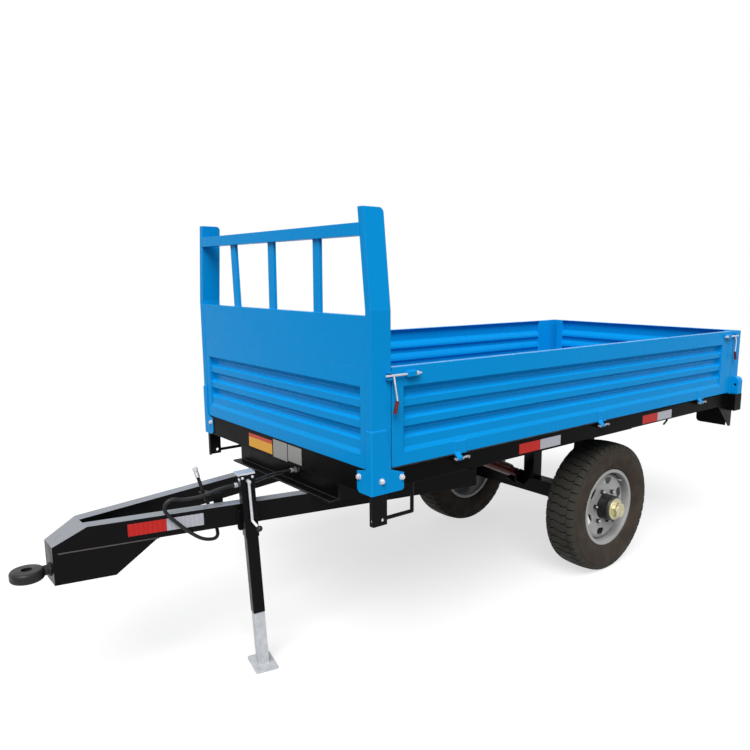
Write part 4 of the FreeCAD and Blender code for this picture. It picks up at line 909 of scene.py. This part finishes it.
def hex_bolt(shape, point, direction):
    """Bolt head with its washer, standing on a face."""
    place = facing(point, direction)
    bmesh.ops.create_cone(shape, cap_ends=True, segments=24, radius1=bolt_washer, radius2=bolt_washer * 0.96,
                          depth=washer_depth, matrix=place @ Matrix.Translation((0, 0, washer_depth / 2)))
    corner = bolt_across / 2 / math.cos(math.pi / 6)
    body = place @ Matrix.Translation((0, 0, washer_depth + bolt_height * 0.375))
    crest = place @ Matrix.Translation((0, 0, washer_depth + bolt_height * 0.875))
    verts = []
    for middle, top, depth in ((body, corner, 0.75), (crest, corner * 0.80, 0.25)):
        wall = bmesh.ops.create_cone(shape, cap_ends=False, segments=6, radius1=corner, radius2=top,
                                     depth=bolt_height * depth, matrix=middle)
        verts += wall["verts"]
    bmesh.ops.remove_doubles(shape, verts=verts, dist=0.00001)
    bmesh.ops.holes_fill(shape, edges=[edge for edge in shape.edges if edge.is_boundary], sides=0)


bolts = bmesh.new()
for side in (-1, 1):
    hex_bolt(bolts, (bed_front + plate_front, side * front_bolt_side, bed_edge - front_bolt_drop), (1, 0, 0))
    for x in side_bolts:
        hex_bolt(bolts, (bed_front + x, side * plate_side, bed_edge - side_bolt_drop), (0, side, 0))
fitted("corner_bolts", bolts, bright_zinc, "bed", sharp=0.5)

# Hinges and latches. Zinc plated pins in black plates under the boards; at each end of a side
# board a plated bolt with a bent handle and a dark red grip drops into its cradle on the post.
dress(bright_zinc, "latches_left", "latches_right")
hinge_zinc = enamelled("hinge_zinc", (0.34, 0.33, 0.38, 1.0), (0.26, 0.26, 0.30, 1.0),
                       (0.50, 0.50, 0.54, 1.0), smooth=0.2, rough=0.36, cloud_scale=30.0, peel_scale=900.0,
                       radius=0.001, dust_share=0.05)
bed_half = 0.756
bed_back = 3.030
pin_clear = 0.0085
pin_drop = 0.020
pin_radius = 0.0055
tree = hinge_zinc.node_tree
spot = node(tree, "TexCoord")
place = node(tree, "SeparateXYZ")
tree.links.new(spot.outputs["Object"], place.inputs[0])
sideways = node(tree, "Math", operation="ABSOLUTE")
tree.links.new(place.outputs["Y"], sideways.inputs[0])
beside = node(tree, "Math", operation="GREATER_THAN")
beside.inputs[1].default_value = bed_half + pin_clear
tree.links.new(sideways.outputs[0], beside.inputs[0])
behind = node(tree, "Math", operation="LESS_THAN")
behind.inputs[1].default_value = bed_front - bed_back - pin_clear
tree.links.new(place.outputs["X"], behind.inputs[0])
outside = node(tree, "Math", operation="MAXIMUM")
tree.links.new(beside.outputs[0], outside.inputs[0])
tree.links.new(behind.outputs[0], outside.inputs[1])
level = node(tree, "Math", operation="COMPARE")
level.inputs[1].default_value = bed_edge - pin_drop
level.inputs[2].default_value = pin_radius
tree.links.new(place.outputs["Z"], level.inputs[0])
on_pin = node(tree, "Math", operation="MULTIPLY")
tree.links.new(outside.outputs[0], on_pin.inputs[0])
tree.links.new(level.outputs[0], on_pin.inputs[1])
on_plate = node(tree, "Math", operation="SUBTRACT")
on_plate.inputs[0].default_value = 1.0
tree.links.new(on_pin.outputs[0], on_plate.inputs[1])
painted_over(tree, on_plate.outputs[0], black)
dress(hinge_zinc, "board_hinges")
grip_red = enamelled("grip_red", (0.11, 0.014, 0.010, 1.0), (0.08, 0.010, 0.008, 1.0),
                     (0.2, 0.04, 0.03, 1.0), smooth=0.3, rough=0.45, cloud_scale=20.0, peel_scale=500.0,
                     peel_depth=0.15, radius=0.0015, dust_share=0.06, specular=0.25)
dress(grip_red, "latch_grips_left", "latch_grips_right")
latch_ends = ((-0.102, -1), (-2.928, 1))
latch_reach = 0.110
latch_side = 0.771
latch_rise = 0.370
thread = (20, 0.0048, 0.0042, 0.030, 0.013)
washer = (24, 0.0095, 0.0095, 0.002, 0.0015)
nut = (6, 0.0092, 0.0092, 0.009, 0.0072)
for name, side in (("left", 1), ("right", -1)):
    nuts = bmesh.new()
    for x, way in latch_ends:
        tip = (bed_front + x + way * latch_reach, side * latch_side, bed_edge + latch_rise)
        end = facing(tip, (way, 0, 0))
        for sides, base, top, depth, rise in (thread, washer, nut):
            bmesh.ops.create_cone(nuts, cap_ends=True, segments=sides, radius1=base, radius2=top, depth=depth,
                                  matrix=end @ Matrix.Translation((0, 0, rise)))
    fitted("latch_nuts_" + name, nuts, bright_zinc, "side_board_" + name, sharp=0.5)
